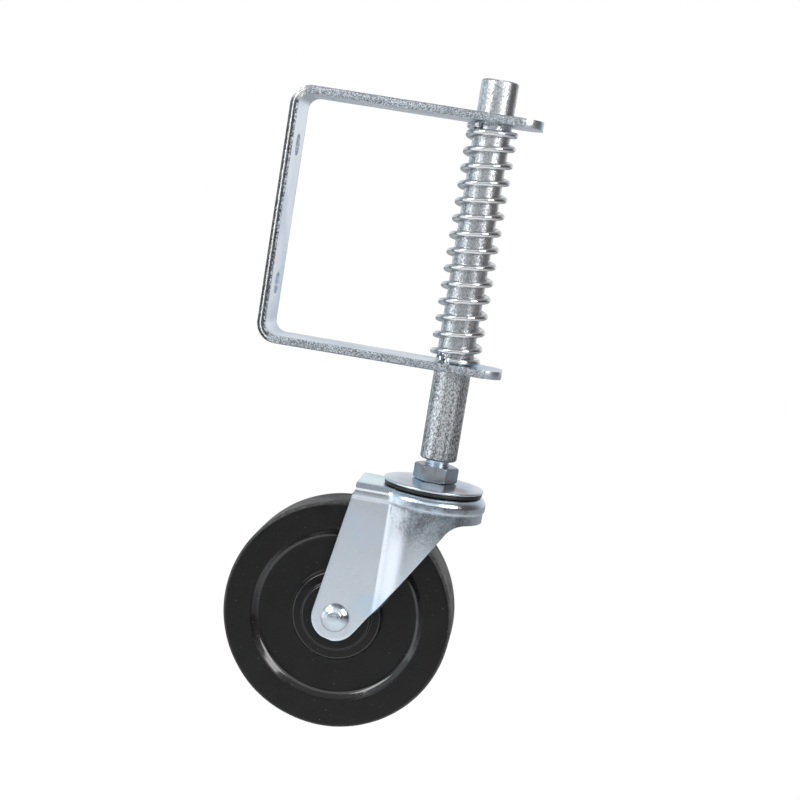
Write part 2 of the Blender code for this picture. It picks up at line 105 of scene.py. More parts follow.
STRAP_BEND = 11.0 * MM
GATE_HOLE_RISE = 38.1 * MM
ROD_SQUARE, GATE_SQUARE = 8.6 * MM, 4.6 * MM
PIN_AZIMUTH = math.radians(-127)
SHANK_HOLE = 6.65 * MM
LOAD_ROW, LOAD_GROOVE, LOAD_LEVEL = 18.5 * MM, 2.68 * MM, -136.2 * MM
RETAINING_ROW, RETAINING_GROOVE, RETAINING_LEVEL = 12.0 * MM, 2.3 * MM, -143.1 * MM


# ---------------------------------------------------------------------------------------------------------
# Properties
# ---------------------------------------------------------------------------------------------------------


def length(name, text, value):
    """A property that holds a length in metres."""
    return FloatProperty(name=name, description=text, default=value, min=0.0, unit="LENGTH", precision=5)


def colour(name, text, value):
    """A property that holds a colour."""
    return FloatVectorProperty(
        name=name, description=text, default=value, min=0.0, max=1.0, size=3, subtype="COLOR"
    )


class GateWheelSizes(bpy.types.PropertyGroup):
    """Sizes that the solid model doesn't hold: small edges, wire, creases."""

    wire_radius: length("Wire radius", "Radius of the spring's wire", 1.75 * MM)
    coil_radius: length("Coil radius", "Radius of the spring's centre line", 12.45 * MM)
    coil_turns: FloatProperty(name="Coil turns", description="Turns in the spring", default=14.95, min=2.0)
    strap_thickness: length("Strap thickness", "Thickness of the bracket's strap", 4.4 * MM)
    strap_edge: length("Strap edge", "Rounding along the strap's edges", 1.1 * MM)
    sheet: length("Sheet", "Thickness of the fork's sheet", 2.6 * MM)
    fork_bend: length("Fork bend", "Outer radius where the fork's top turns down", 4.6 * MM)
    crease_step: length("Crease step", "How far the crown stands proud of the legs", 0.8 * MM)
    ridge_blend: length("Ridge blend", "Softness of the valley between leg and crown", 2.0 * MM)
    tread_edge: length("Tread edge", "Rounding at the tread's shoulders", 2.6 * MM)
    turn_steps: IntProperty(name="Steps", description="Steps round a turned piece", default=160, min=24)


class GateWheelColours(bpy.types.PropertyGroup):
    """The base colours of the finishes."""

    zinc: colour("Zinc", "Bright zinc plate", (0.685, 0.75, 0.82))
    zinc_dark: colour("Zinc, dark", "Zinc plate where it is etched or shaded", (0.30, 0.31, 0.33))
    steel: colour("Steel", "Bright plated wire and bearing steel", (0.74, 0.75, 0.76))
    rubber: colour("Rubber", "Hard black rubber", (0.0060, 0.0060, 0.0064))
    rubber_worn: colour("Rubber, worn", "Rubber on the tread and its edges", (0.050, 0.049, 0.047))
    seal: colour("Seal", "The dust seal's rubber", (0.006, 0.006, 0.006))
    floor: colour("Floor", "The studio floor", (0.90, 0.90, 0.90))


# ---------------------------------------------------------------------------------------------------------
# Surfaces
# ---------------------------------------------------------------------------------------------------------


def mesh_piece(name, points, quads, triangles=None):
    """An object at the origin from an array of points and arrays of four-sided and three-sided faces."""
    mesh = bpy.data.meshes.new(name)
    faces = [quads] if triangles is None else [quads, triangles]
    sizes = np.concatenate([np.full(len(group), group.shape[1]) for group in faces])
    corner = np.concatenate([group.ravel() for group in faces])
    mesh.vertices.add(len(points))
    mesh.vertices.foreach_set("co", np.asarray(points, np.float32).ravel())
    mesh.loops.add(len(corner))
    mesh.loops.foreach_set("vertex_index", corner.astype(np.int32))
    mesh.polygons.add(len(sizes))
    mesh.polygons.foreach_set("loop_start", np.concatenate([[0], np.cumsum(sizes)[:-1]]).astype(np.int32))
    mesh.update(calc_edges=True)
    mesh.validate()
    obj = bpy.data.objects.new(name, mesh)
    bpy.context.scene.collection.objects.link(obj)
    return obj


def grid_quads(rows, columns, wrap_rows=False, wrap_columns=False):
    """Faces between neighbouring points of a grid, each four-sided, closing round where it wraps."""
    index = np.arange(rows * columns).reshape(rows, columns)
    if wrap_rows:
        index = np.concatenate([index, index[:1]], axis=0)
    if wrap_columns:
        index = np.concatenate([index, index[:, :1]], axis=1)
    return np.stack(
        [index[:-1, :-1], index[:-1, 1:], index[1:, 1:], index[1:, :-1]], axis=-1
    ).reshape(-1, 4)


@contextlib.contextmanager
def edited(obj):
    """The object's mesh opened for editing, and put back afterwards."""
    shape = bmesh.new()
    shape.from_mesh(obj.data)
    yield shape
    shape.to_mesh(obj.data)
    shape.free()


def seal_mesh(obj, distance=1e-7):
    """Merges the doubled points at poles and seams, drops what collapsed and turns the faces outward."""
    with edited(obj) as shape:
        bmesh.ops.remove_doubles(shape, verts=shape.verts, dist=distance)
        bmesh.ops.dissolve_degenerate(shape, edges=shape.edges, dist=distance)
        bmesh.ops.recalc_face_normals(shape, faces=shape.faces)
    return obj


def drop_loose_points(shape):
    """Deletes the points that no face uses."""
    bmesh.ops.delete(shape, geom=[point for point in shape.verts if not point.link_faces], context="VERTS")


def face_out(obj, way):
    """Gives an open surface's faces one side, turned so that the face furthest along a direction faces it."""
    way = np.array(way, float)
    with edited(obj) as shape:
        bmesh.ops.recalc_face_normals(shape, faces=shape.faces)
        shape.faces.ensure_lookup_table()
        furthest = max(shape.faces, key=lambda face: float(np.dot(way, face.calc_center_median())))
        if float(np.dot(way, furthest.normal)) < 0:
            bmesh.ops.reverse_faces(shape, faces=shape.faces)


def thicken(obj, thickness, edge_width, segments, sharpest):
    """Gives a sheet its thickness inwards and rounds its cut edges."""
    wall = obj.modifiers.new("wall", "SOLIDIFY")
    wall.thickness = thickness
    wall.offset = -1
    edge = obj.modifiers.new("edge", "BEVEL")
    edge.width = edge_width
    edge.segments = segments
    edge.limit_method = "ANGLE"
    edge.angle_limit = math.radians(sharpest)


def smooth(obj, angle=38):
    """Shades a piece smooth, with an edge left sharp past an angle in degrees."""
    obj.data.shade_smooth()
    obj.data.set_sharp_from_angle(angle=math.radians(angle))
    return obj


def filleted(points, radii, steps=6):
    """A path with its corners rounded: each corner gives way to an arc that meets both its sides.

    The arc's ends lie radius / tan(half the corner's angle) from the corner along each side. A radius of
    zero keeps the corner.
    """
    points = np.asarray(points, float)
    path = [points[:1]]
    for before, corner, after, radius in zip(points, points[1:], points[2:], radii):
        if radius <= 0:
            path.append(corner[None])
            continue
        into = (before - corner) / np.linalg.norm(before - corner)
        out = (after - corner) / np.linalg.norm(after - corner)
        half = np.arccos(np.clip(into @ out, -1, 1)) / 2
        bisector = (into + out) / np.linalg.norm(into + out)
        centre = corner + bisector * radius / np.sin(half)
        start = corner + into * radius / np.tan(half) - centre
        end = corner + out * radius / np.tan(half) - centre
        turn = np.arccos(np.clip(start @ end / radius**2, -1, 1))
        share = np.linspace(0, 1, steps)[:, None]
        arc = (np.sin((1 - share) * turn) * start + np.sin(share * turn) * end) / np.sin(turn)
        path.append(centre + arc)
    path.append(points[-1:])
    return np.concatenate(path)


def resampled(path, spacing):
    """The path with extra points put in, so that no step along it is longer than the spacing."""
    steps = np.linalg.norm(np.diff(path, axis=0), axis=1)
    counts = np.maximum(1, np.ceil(steps / spacing)).astype(int)
    starts = np.repeat(np.arange(len(steps)), counts)
    shares = np.concatenate([np.arange(count) / count for count in counts])[:, None]
    inner = path[starts] * (1 - shares) + path[starts + 1] * shares
    return np.concatenate([inner, path[-1:]])


def revolved(name, profile, centre, axis="Z", steps=160, ring=False, change=None):
    """A profile of (radius, height) turned through a full circle about an axis.

    Point = centre + radius times (cosine, sine) of the angle across the axis + height along the axis. The
    change function may move radius and height, given angle, radius and height as arrays.
    """
    angle = np.arange(steps) * TAU / steps
    radius = np.repeat(np.asarray(profile)[:, :1], steps, axis=1)
    height = np.repeat(np.asarray(profile)[:, 1:], steps, axis=1)
    turn = np.repeat(angle[None], len(profile), axis=0)
    if change:
        radius, height = change(turn, radius, height)
    across = radius * np.cos(turn)
    over = radius * np.sin(turn)
    parts = (across, over, height) if axis == "Z" else (across, height, over)
    points = np.stack(parts, axis=-1) + np.asarray(centre)
    quads = grid_quads(*turn.shape, wrap_rows=ring, wrap_columns=True)
    obj = mesh_piece(name, points.reshape(-1, 3), quads)
    return smooth(seal_mesh(obj))


def bumpy(seed, waves, lowest, highest):
    """A smooth random field of position: a sum of sine waves with seeded directions, lengths and phases."""
    chance = np.random.default_rng(seed)
    direction = chance.normal(size=(waves, 3))
    direction /= np.linalg.norm(direction, axis=1)[:, None]
    wavelength = lowest * (highest / lowest) ** chance.random(waves)
    phase = chance.random(waves) * TAU

    def field(points):
        total = sum(
            np.sin(points @ (way * TAU / size) + shift)
            for way, size, shift in zip(direction, wavelength, phase)
        )
        return total / math.sqrt(waves)

    return field


def swept_wire(name, centres, radius, sides=20):
    """A round wire along a coil's centre line, with flat cut ends.

    At each centre the ring stands square to the path: point = centre + radius times (cosine of a times the
    outward direction + sine of a times the direction square to both).
    """
    tangent = np.gradient(centres, axis=0)
    tangent /= np.linalg.norm(tangent, axis=1)[:, None]
    outward = centres - ROD_CENTRE
    outward[:, 2] = 0
    outward -= (outward * tangent).sum(1)[:, None] * tangent
    outward /= np.linalg.norm(outward, axis=1)[:, None]
    over = np.cross(tangent, outward)
    angle = np.arange(sides) * TAU / sides
    rings = (
        centres[:, None]
        + radius * np.cos(angle)[None, :, None] * outward[:, None]
        + radius * np.sin(angle)[None, :, None] * over[:, None]
    )
    burr = 0.16 * radius
    inset = centres[[0, -1]][:, None] * 0.16 + rings[[0, -1]] * 0.84
    inset += tangent[[0, -1]][:, None] * np.array([-burr, burr])[:, None, None]
    middle = np.repeat(inset.mean(axis=1)[:, None], sides, axis=1)
    rings = np.concatenate([middle[:1], inset[:1], rings, inset[1:], middle[1:]])
    obj = mesh_piece(name, rings.reshape(-1, 3), grid_quads(len(rings), sides, wrap_columns=True))
    return smooth(seal_mesh(obj), 50)


def dress(obj, look, body, slot, *nodes):
    """Gives a piece its finish and its body, and lets it stand for its solids."""
    obj.data.materials.clear()
    obj.data.materials.append(bpy.data.materials[look])
    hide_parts(*nodes)
    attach(obj, body)
    return obj


UNDOABLE = {"REGISTER", "UNDO"}


def finished(operator):
    """What an operator gives back once its pieces are made."""
    operator.report({"INFO"}, operator.bl_label)
    return {"FINISHED"}


# ---------------------------------------------------------------------------------------------------------
# The bracket
# ---------------------------------------------------------------------------------------------------------


def stations(*marks):
    """Places along a line: (place, step) pairs, with even steps no longer than each stretch's own."""
    places = [np.array([marks[0][0]], float)]
    for (start, _), (end, step) in zip(marks, marks[1:]):
        count = max(1, math.ceil((end - start) / step - 1e-6))
        places.append(np.linspace(start, end, count + 1)[1:])
    return np.concatenate(places)


def round_hole(along, across, centre, radius, square, reach):
    """Bends a flat grid round a hole, so that the square of grid lines about it becomes the hole's circle.

    With d the larger of the two distances from the centre, a point keeps its direction. Its distance goes
    from radius, where d is the square's half side, back to its own, where d is the reach.
    """
    over = along - centre
    wide = np.maximum(np.abs(over), np.abs(across))
    far = np.maximum(np.hypot(over, across), 1e-9)
    share = np.clip((wide - square) / (reach - square), 0, 1)
    scale = (1 - share) * wide * radius / square / far + share
    return centre + over * scale, across * scale


def strap_point(along, across, size):
    """Where a place on the flat strap's outer face lies once the strap is bent to a C.

    The length runs from the upper leg's end to the gate face, down it, and out to the lower leg's end.
    Straight stretches keep their length, and each bend is a quarter circle of the outer radius.
    """
    top, reach, bend = size
    leg = reach - bend
    quarter = bend * math.pi / 2
    back = 2 * (top - bend)
    places = np.cumsum([0, leg, quarter, back, quarter, leg])
    upper = np.clip((along - places[1]) / bend, 0, math.pi / 2)
    lower = np.clip((along - places[3]) / bend, 0, math.pi / 2)
    x = reach - np.minimum(along, leg) - bend * np.sin(upper) + bend * (1 - np.cos(lower))
    x += np.maximum(along - places[4], 0)
    z = top - bend * (1 - np.cos(upper)) - np.clip(along - places[2], 0, back) - bend * np.sin(lower)
    return np.stack([x, across, z], axis=-1)


def strap_grid(total, half, end, rod, middle):
    """The flat strap's grid lines, closer together round the holes, the bends and the rounded ends.

    Near each end the half width is side minus round plus the height of a quarter circle.
    """
    leg = box("gate_bracket")[1][0] - STRAP_BEND
    bent = leg + STRAP_BEND * math.pi / 2
    hole = middle - GATE_HOLE_RISE
    half_line = stations(
        (0, 1),
        (0.25 * MM, 1),
        (end, 1.1 * MM),
        (rod - ROD_SQUARE, 1.2 * MM),
        (rod + ROD_SQUARE, 1.0 * MM),
        (leg, 3 * MM),
        (bent, 1.1 * MM),
        (hole - GATE_SQUARE, 2.2 * MM),
        (hole + GATE_SQUARE, 0.9 * MM),
        (middle, 3 * MM),
    )
    line = np.concatenate([half_line, total - half_line[-2::-1]])
    rounding = end * (1 - np.cos(np.linspace(0, 1, 12) * math.pi / 2))
    line = np.unique(np.concatenate([line, rounding, total - rounding]).round(9))
    side = stations(
        (-half, 1),
        (-ROD_SQUARE, 1.1 * MM),
        (-GATE_SQUARE, 1.0 * MM),
        (GATE_SQUARE, 0.92 * MM),
        (ROD_SQUARE, 1.0 * MM),
        (half, 1.1 * MM),
    )
    along, across = np.meshgrid(line, side, indexing="ij")
    from_end = np.minimum(np.minimum(along, total - along), end)
    width = half - end + np.sqrt(np.maximum(end**2 - (end - from_end) ** 2, 0))
    return along, across * width / half


def make_bracket(sizes):
    """The strap's outer face as a flat grid with four holes, bent to a C and given its thickness."""
    reach, half, top = box("gate_bracket")[1]
    total = 2 * (reach - STRAP_BEND + STRAP_BEND * math.pi / 2) + 2 * (top - STRAP_BEND)
    rod, middle = reach - ROD_CENTRE[0], total / 2
    along, across = strap_grid(total, half, 12.5 * MM, rod, middle)
    rod_hole = (ROD_RADIUS + 0.35 * MM, ROD_SQUARE, 14.2 * MM)
    gate_hole = (6 * MM, GATE_SQUARE, 13 * MM)
    open_cells = np.zeros((along.shape[0] - 1, along.shape[1] - 1), bool)
    for centre, (radius, square, bent_reach) in (
        (rod, rod_hole),
        (total - rod, rod_hole),
        (middle - GATE_HOLE_RISE, gate_hole),
        (middle + GATE_HOLE_RISE, gate_hole),
    ):
        mid_along = (along[:-1, :-1] + along[1:, 1:]) / 2
        mid_across = (across[:-1, :-1] + across[1:, 1:]) / 2
        open_cells |= np.maximum(np.abs(mid_along - centre), np.abs(mid_across)) < square
        along, across = round_hole(along, across, centre, radius, square, bent_reach)
    points = strap_point(along, across, (top, reach, STRAP_BEND))
    quads = grid_quads(*along.shape)[~open_cells.ravel()]
    strap = mesh_piece("bracket_strap", points.reshape(-1, 3), quads)
    with edited(strap) as shape:
        drop_loose_points(shape)
    face_out(strap, (-1, 0, 0))
    thicken(strap, sizes.strap_thickness, sizes.strap_edge, 3, 50)
    return smooth(strap, 40)


# ---------------------------------------------------------------------------------------------------------
# The spring, the rod and its pin
# ---------------------------------------------------------------------------------------------------------


def coil_line(turns, low, high, radius, start):
    """A compression spring's centre line, closed up at both ends.

    The angle grows evenly. The height rises as the square of the turn over the first turn, evenly after
    that, and more slowly again over the last one.
    """
    turn = np.linspace(0, turns, int(turns * 48))
    first, last = 4.75 * MM, 3.75 * MM
    pitch = (high - low - first - last) / (turns - 2)
    height = low + first * np.minimum(turn, 1) ** 2 + pitch * np.clip(turn - 1, 0, turns - 2)
    height += last * np.maximum(turn - (turns - 1), 0)
    angle = start + TAU * turn
    x = ROD_CENTRE[0] + radius * np.cos(angle)
    y = ROD_CENTRE[1] + radius * np.sin(angle)
    return np.stack([x, y, height], axis=-1)


def make_spring(sizes):
    """The spring's wire, carried along its centre line."""
    low, high = box("compression_spring")
    wire = sizes.wire_radius
    coil = sizes.coil_radius
    centres = coil_line(sizes.coil_turns, low[2] + wire, high[2] - wire, coil, math.radians(-105))
    return swept_wire("coil_spring", centres, wire)


def make_rod(sizes):
    """A drawn bar with chamfered ends: a profile of radius and height turned about Z."""
    low, high = box("plunger_rod")
    chamfer, edge = 0.9 * MM, 0.25 * MM
    depth = box("king_bolt")[1][2] + 0.3 * MM
    profile = filleted(
        [
            (0, high[2]),
            (ROD_RADIUS - chamfer, high[2]),
            (ROD_RADIUS, high[2] - chamfer),
            (ROD_RADIUS, low[2] + chamfer),
            (ROD_RADIUS - chamfer, low[2]),
            (SHANK_HOLE, low[2]),
            (SHANK_HOLE, depth),
            (0, depth + 2.5 * MM),
        ],
        [edge, edge, edge, edge, edge, 0],
    )
    profile = resampled(profile, 4 * MM)
    uneven = bumpy(11, 24, 14 * MM, 60 * MM)

    def drawn(turn, radius, height):
        x = radius * np.cos(turn)
        y = radius * np.sin(turn)
        wave = uneven(np.stack([x, y, height * 0.4], axis=-1).reshape(-1, 3)).reshape(turn.shape)
        outer = radius > ROD_RADIUS - 0.05 * MM
        return radius - outer * 0.035 * MM * (1 + wave), height

    return revolved("sliding_rod", profile, ROD_LINE, steps=sizes.turn_steps, change=drawn)


def make_pin(sizes):
    """A slotted roll pin: a C section with rounded lips, carried along a line and drawn in at its ends.

    Section = wall's middle radius and half thickness round an arc that leaves a slot, doubled back on
    itself. Along the pin the section shrinks a little at each end.
    """
    along = np.array([math.cos(PIN_AZIMUTH), math.sin(PIN_AZIMUTH), 0])
    side = np.array([-math.sin(PIN_AZIMUTH), math.cos(PIN_AZIMUTH), 0])
    low, high = box("stop_pin")
    height = (low[2] + high[2]) / 2
    radius = (high[2] - low[2]) / 2
    wall = 0.55 * MM
    slot = math.radians(32)
    arc = np.linspace(slot, TAU - slot, 40)
    outer = np.stack([np.cos(arc), np.sin(arc)], axis=-1) * radius
    inner = np.stack([np.cos(arc), np.sin(arc)], axis=-1)[::-1] * (radius - wall)
    section = np.concatenate([outer, inner])
    starts = -(ROD_RADIUS - 0.4 * MM)
    ends = 14.2 * MM
    place = np.array([starts, starts + 0.5 * MM, 0, ends - 0.6 * MM, ends - 0.25 * MM, ends])
    shrink = np.array([0.88, 1, 1, 1, 0.95, 0.86])
    rows = section[None] * shrink[:, None, None]
    points = (
        np.array([ROD_CENTRE[0], ROD_CENTRE[1], height])
        + place[:, None, None] * along
        + rows[..., :1] * np.array([0, 0, 1.0])
        + rows[..., 1:] * side
    )
    count = len(section)
    index = np.arange(count // 2)
    lids = np.stack([index[:-1], index[1:], count - 2 - index[:-1], count - 1 - index[:-1]], axis=-1)
    last = (len(place) - 1) * count
    quads = np.concatenate([grid_quads(len(place), count, wrap_columns=True), lids, lids[:, ::-1] + last])
    obj = mesh_piece("roll_pin", points.reshape(-1, 3), quads)
    return smooth(seal_mesh(obj), 40)


# ---------------------------------------------------------------------------------------------------------
# The nut and the king bolt
# ---------------------------------------------------------------------------------------------------------


def hexagon(turn, flats):
    """Distance to a hexagon's side, flats facing +Y and -Y: half the flats / cosine within a sixth."""
    sixth = turn % (TAU / 6) - TAU / 12
    return flats / 2 / np.cos(sixth)


def turned_hexagon(turn, radius, flats, edge, near):
    """The hexagon's side where the radius is out past it, kept inside a cone of 30 degrees to the face.

    The cone's radius = the edge's own + the distance from the nearer face / the angle's tangent.
    """
    cone = edge + near / math.tan(math.radians(30))
    return np.where(radius > flats * 0.9, np.minimum(hexagon(turn, flats), cone), radius)


def make_nut(sizes):
    """A hexagon nut with its corners turned off.

    Its side is the smaller of the hexagon's distance and two cones, one narrowing towards each face.
    """
    low, high = box("jam_nut")
    flats = box_size("jam_nut")[1]
    edge = flats / 2 + 0.7 * MM
    countersink = 0.7 * MM
    heights = np.linspace(low[2], high[2], 25)
    rim = [[SHANK_HOLE, low[2]], [SHANK_HOLE + 0.6 * MM, low[2]], [edge * 0.9, low[2]]]
    side = np.stack([np.full(25, flats), heights], axis=-1)
    top = [[edge * 0.9, high[2]], [SHANK_HOLE + countersink, high[2]], [SHANK_HOLE, high[2] - countersink]]
    profile = np.concatenate([rim, side, top])

    def cut(turn, radius, height):
        near = np.minimum(height - low[2], high[2] - height)
        return turned_hexagon(turn, radius, flats, edge, near), height

    return revolved("jam_nut_body", profile, ROD_LINE, steps=144, ring=True, change=cut)


def make_king_bolt(sizes):
    """A hexagon head with a turned-off edge, below a plain shank whose exposed stretch carries a thread.

    The thread is a wave of the radius along the height, moved on by one pitch for each turn.
    """
    low, high = box("king_bolt")
    shank = 6.35 * MM
    head = 4.6 * MM
    flats = 19.0 * MM
    pitch = 1.6 * MM
    edge = flats / 2 - 0.1 * MM
    groove = 0.14 * MM
    side = np.stack([np.full(14, flats), np.linspace(low[2], low[2] + head, 14)], axis=-1)
    bottom = np.array([[0, low[2]], [edge * 0.5, low[2]], [edge * 0.95, low[2]]])
    start = low[2] + head
    smooth_end = box("top_plate")[1][2]
    lower = np.stack([np.full(8, shank), np.linspace(start, smooth_end, 8)], axis=-1)
    upper = np.linspace(smooth_end, high[2] - 0.8 * MM, 151)[1:]
    thread = np.stack([np.full(150, shank), upper], axis=-1)
    tip = np.array([[shank - 0.9 * MM, high[2]], [0, high[2]]])
    profile = np.concatenate([bottom, side, [[shank + 0.1 * MM, start]], lower, thread, tip])

    def cut(turn, radius, height):
        radius = turned_hexagon(turn, radius, flats, edge, height - low[2])
        threaded = (height > smooth_end) & (height < high[2] - 0.7 * MM)
        phase = height / pitch - turn / TAU
        return radius - threaded * groove * np.abs(2 * (phase % 1) - 1), height

    return revolved("king_bolt_body", profile, ROD_LINE, steps=96, change=cut)


# ---------------------------------------------------------------------------------------------------------
# The swivel: plates, seal and balls
# ---------------------------------------------------------------------------------------------------------


def groove_arc(row, level, radius, start, end):
    """A ball groove's section: points on a circle about (row, level) between two angles in degrees."""
    turn = np.linspace(math.radians(start), math.radians(end), 12)
    return np.stack([row + radius * np.cos(turn), level + radius * np.sin(turn)], axis=-1)


def make_top_plate(sizes):
    """The domed plate: a profile turned about Z, flat under the nut, falling to a rolled rim."""
    low, high = box("top_plate")
    radius = box_size("top_plate")[0] / 2
    flat = 12.4 * MM
    fall = 1.4 * MM
    edge = high[2] - fall
    out = np.linspace(0, 1, 14)
    dome = np.stack([flat + (radius - 0.9 * MM - flat) * out, high[2] - fall * out**1.6], axis=-1)
    rim = filleted(
        [
            dome[-1],
            (radius, edge - 0.25 * MM),
            (radius - 0.1 * MM, edge - 1.35 * MM),
            (radius - 1.4 * MM, edge - 1.5 * MM),
            (23.4 * MM, low[2]),
        ],
        [0.45 * MM, 0.45 * MM, 0.4 * MM],
    )
    ring = groove_arc(LOAD_ROW, LOAD_LEVEL, LOAD_GROOVE, 30, 150)
    ring = ring[ring[:, 1] > low[2]]
    mouth = [(SHANK_HOLE, high[2] - 0.3 * MM), (SHANK_HOLE + 0.3 * MM, high[2]), (flat, high[2])]
    profile = np.concatenate([mouth, dome[1:-1], rim, ring, [(SHANK_HOLE, low[2])]])
    return revolved("race_plate", profile, ROD_LINE, steps=sizes.turn_steps, ring=True)


def make_seal(sizes):
    """The dust seal: a soft lip turned about Z, its outer side slightly crowned."""
    low, high = box("dust_seal")
    outer = box_size("dust_seal")[0] / 2
    inner = 23.9 * MM
    profile = filleted(
        [
            (inner, high[2]),
            (outer - 0.5 * MM, high[2]),
            (outer, (low[2] + high[2]) / 2),
            (outer - 0.25 * MM, low[2]),
            (inner, low[2]),
        ],
        [0.3 * MM, 0.6 * MM, 0.3 * MM],
    )
    uneven = bumpy(5, 18, 3 * MM, 12 * MM)

    def soft(turn, radius, height):
        points = np.stack([radius * np.cos(turn), radius * np.sin(turn), height], axis=-1)
        wave = uneven(points.reshape(-1, 3)).reshape(turn.shape)
        lip = radius > inner + MM
        return radius - lip * 0.10 * MM * (1 + 0.7 * wave), height

    return revolved("seal_ring", profile, ROD_LINE, steps=sizes.turn_steps * 2, ring=True, change=soft)


def make_cup(sizes):
    """The lower race: a dished washer turned about Z, with the ball groove in its top."""
    low, high = box("lower_race_cup")
    ring = groove_arc(RETAINING_ROW, RETAINING_LEVEL, RETAINING_GROOVE, -35, -145)
    ring = ring[ring[:, 1] < high[2]][::-1]
    outer = filleted(
        [(16.0 * MM, high[2]), (16.6 * MM, high[2] - 0.6 * MM), (15.2 * MM, low[2]), (SHANK_HOLE, low[2])],
        [0.35 * MM, 0.8 * MM],
    )
    profile = np.concatenate([outer, [(SHANK_HOLE, high[2])], ring])
    return revolved("race_cup", profile, ROD_LINE, steps=sizes.turn_steps, ring=True)


def make_ball(node, steps=24):
    """A ball: radius times (sine of the polar angle times the turn's cosine and sine, its cosine)."""
    low, high = box(node)
    radius = (high[2] - low[2]) / 2
    polar = np.linspace(0, math.pi, steps // 2 + 1)
    profile = np.stack([radius * np.sin(polar), radius * np.cos(polar)], axis=-1)
    profile[[0, -1], 0] = 0
    return revolved(f"{node}_round", profile, (low + high) / 2, steps=steps)


# ---------------------------------------------------------------------------------------------------------
# The fork
# ---------------------------------------------------------------------------------------------------------

FORK_BACK = 67.5 * MM
LEG_END = 13.0 * MM
HALF_WIDTH = 21.8 * MM
CROWN_RADIUS = 30.1 * MM
CROWN_BOTTOM = -150.0 * MM
FRONT_LEAN = math.radians(33)
BACK_LEAN = math.radians(9.9)
FRONT_FILLET = 12.0 * MM
CREASE = -144.3 * MM
FORK_BORE = 7.35 * MM
AXLE_HOLE = 5.3 * MM


def soft_max(first, second, width):
    """The larger of two values, with their meeting rounded within the width on either side of it."""
    apart = np.maximum(width - np.abs(first - second), 0)
    return np.maximum(first, second) + apart**2 / (4 * width)


def fork_plan(blend):
    """The fork seen from above: straight sides running into a round crown, as points from back to back.

    Half width at x = the soft maximum of the tail's half width and the crown circle's height there.
    """
    centre = ROD_CENTRE[0]
    tail = stations((FORK_BACK, 1), (84.6 * MM, 1.3 * MM), (90.2 * MM, 0.2 * MM), (94.2 * MM, 0.5 * MM))
    rise = np.sqrt(np.maximum(CROWN_RADIUS**2 - (tail - centre) ** 2, 0))
    side = np.stack([tail, -soft_max(np.full_like(rise, HALF_WIDTH), rise, blend)], axis=-1)
    start = math.acos((tail[-1] - centre) / CROWN_RADIUS)
    turn = np.linspace(-start, 0, 90)[1:]
    round_part = np.stack([centre + CROWN_RADIUS * np.cos(turn), CROWN_RADIUS * np.sin(turn)], axis=-1)
    half = np.concatenate([side, round_part])
    return np.concatenate([half, half[-2::-1] * np.array([1, -1])])


def back_edge(height):
    """The leg's back edge: x at a height. It leans back from the crown, then rounds under the axle."""
    x, z = AXLE_CENTRE[0], AXLE_CENTRE[2]
    touch = z + LEG_END * math.sin(BACK_LEAN)
    line = x - LEG_END * math.cos(BACK_LEAN) + (height - touch) * math.tan(BACK_LEAN)
    round_end = x - np.sqrt(np.maximum(LEG_END**2 - (height - z) ** 2, 0))
    return np.minimum(np.where(height > touch, line, round_end), FORK_BACK)


def lower_edge(x):
    """The fork's lower outline: height at x, round the leg's end, up its front edge and on to the skirt."""
    axle_x, axle_z = AXLE_CENTRE[0], AXLE_CENTRE[2]
    foot_x = axle_x + LEG_END * math.cos(FRONT_LEAN)
    foot_z = axle_z - LEG_END * math.sin(FRONT_LEAN)
    slope = 1 / math.tan(FRONT_LEAN)
    run = FRONT_FILLET * math.tan((math.pi / 2 - FRONT_LEAN) / 2)
    corner = foot_x + (CROWN_BOTTOM - foot_z) / slope
    centre_x = corner + run
    start_x = centre_x - FRONT_FILLET * math.cos(FRONT_LEAN)
    fillet = CROWN_BOTTOM - FRONT_FILLET
    fillet = fillet + np.sqrt(np.maximum(FRONT_FILLET**2 - (x - centre_x) ** 2, 0))
    line = foot_z + (x - foot_x) * slope
    arc = axle_z - np.sqrt(np.maximum(LEG_END**2 - (x - axle_x) ** 2, 0))
    past_end = axle_z - LEG_END - (axle_x - x)
    stretches = [x < axle_x, x < foot_x, x < start_x, x < centre_x]
    return np.select(stretches, [past_end, arc, line, fillet], CROWN_BOTTOM)


def crown_height(radius):
    """The crown's upper face: height at a distance from the rod's axis, with the seat for both ball rows.

    Inside the load row it is a seat at that groove's own bottom, lifted by a bell curve over the retaining
    row. Outside, the groove's circle gives way to the crown's top by a smooth step.
    """
    groove = LOAD_LEVEL - np.sqrt(np.maximum(LOAD_GROOVE**2 - (radius - LOAD_ROW) ** 2, 0))
    lift = 0.75 * MM * np.exp(-(((radius - RETAINING_ROW) / (2.2 * MM)) ** 2))
    seat = LOAD_LEVEL - LOAD_GROOVE + lift
    rise = np.clip((radius - 20.6 * MM) / (2.2 * MM), 0, 1)
    rise = rise * rise * (3 - 2 * rise)
    wall = np.minimum(groove, CROWN_TOP - 0.9 * MM)
    return np.where(radius < LOAD_ROW, seat, wall + (CROWN_TOP - wall) * rise)


def plan_outward(plan):
    """Unit directions square to the plan's outline and pointing out, straight to the sides at both ends."""
    step = np.gradient(plan, axis=0)
    out = np.stack([step[:, 1], -step[:, 0]], axis=-1)
    out /= np.linalg.norm(out, axis=1)[:, None]
    out[[0, -1]] = [[0, -1], [0, 1]]
    return out


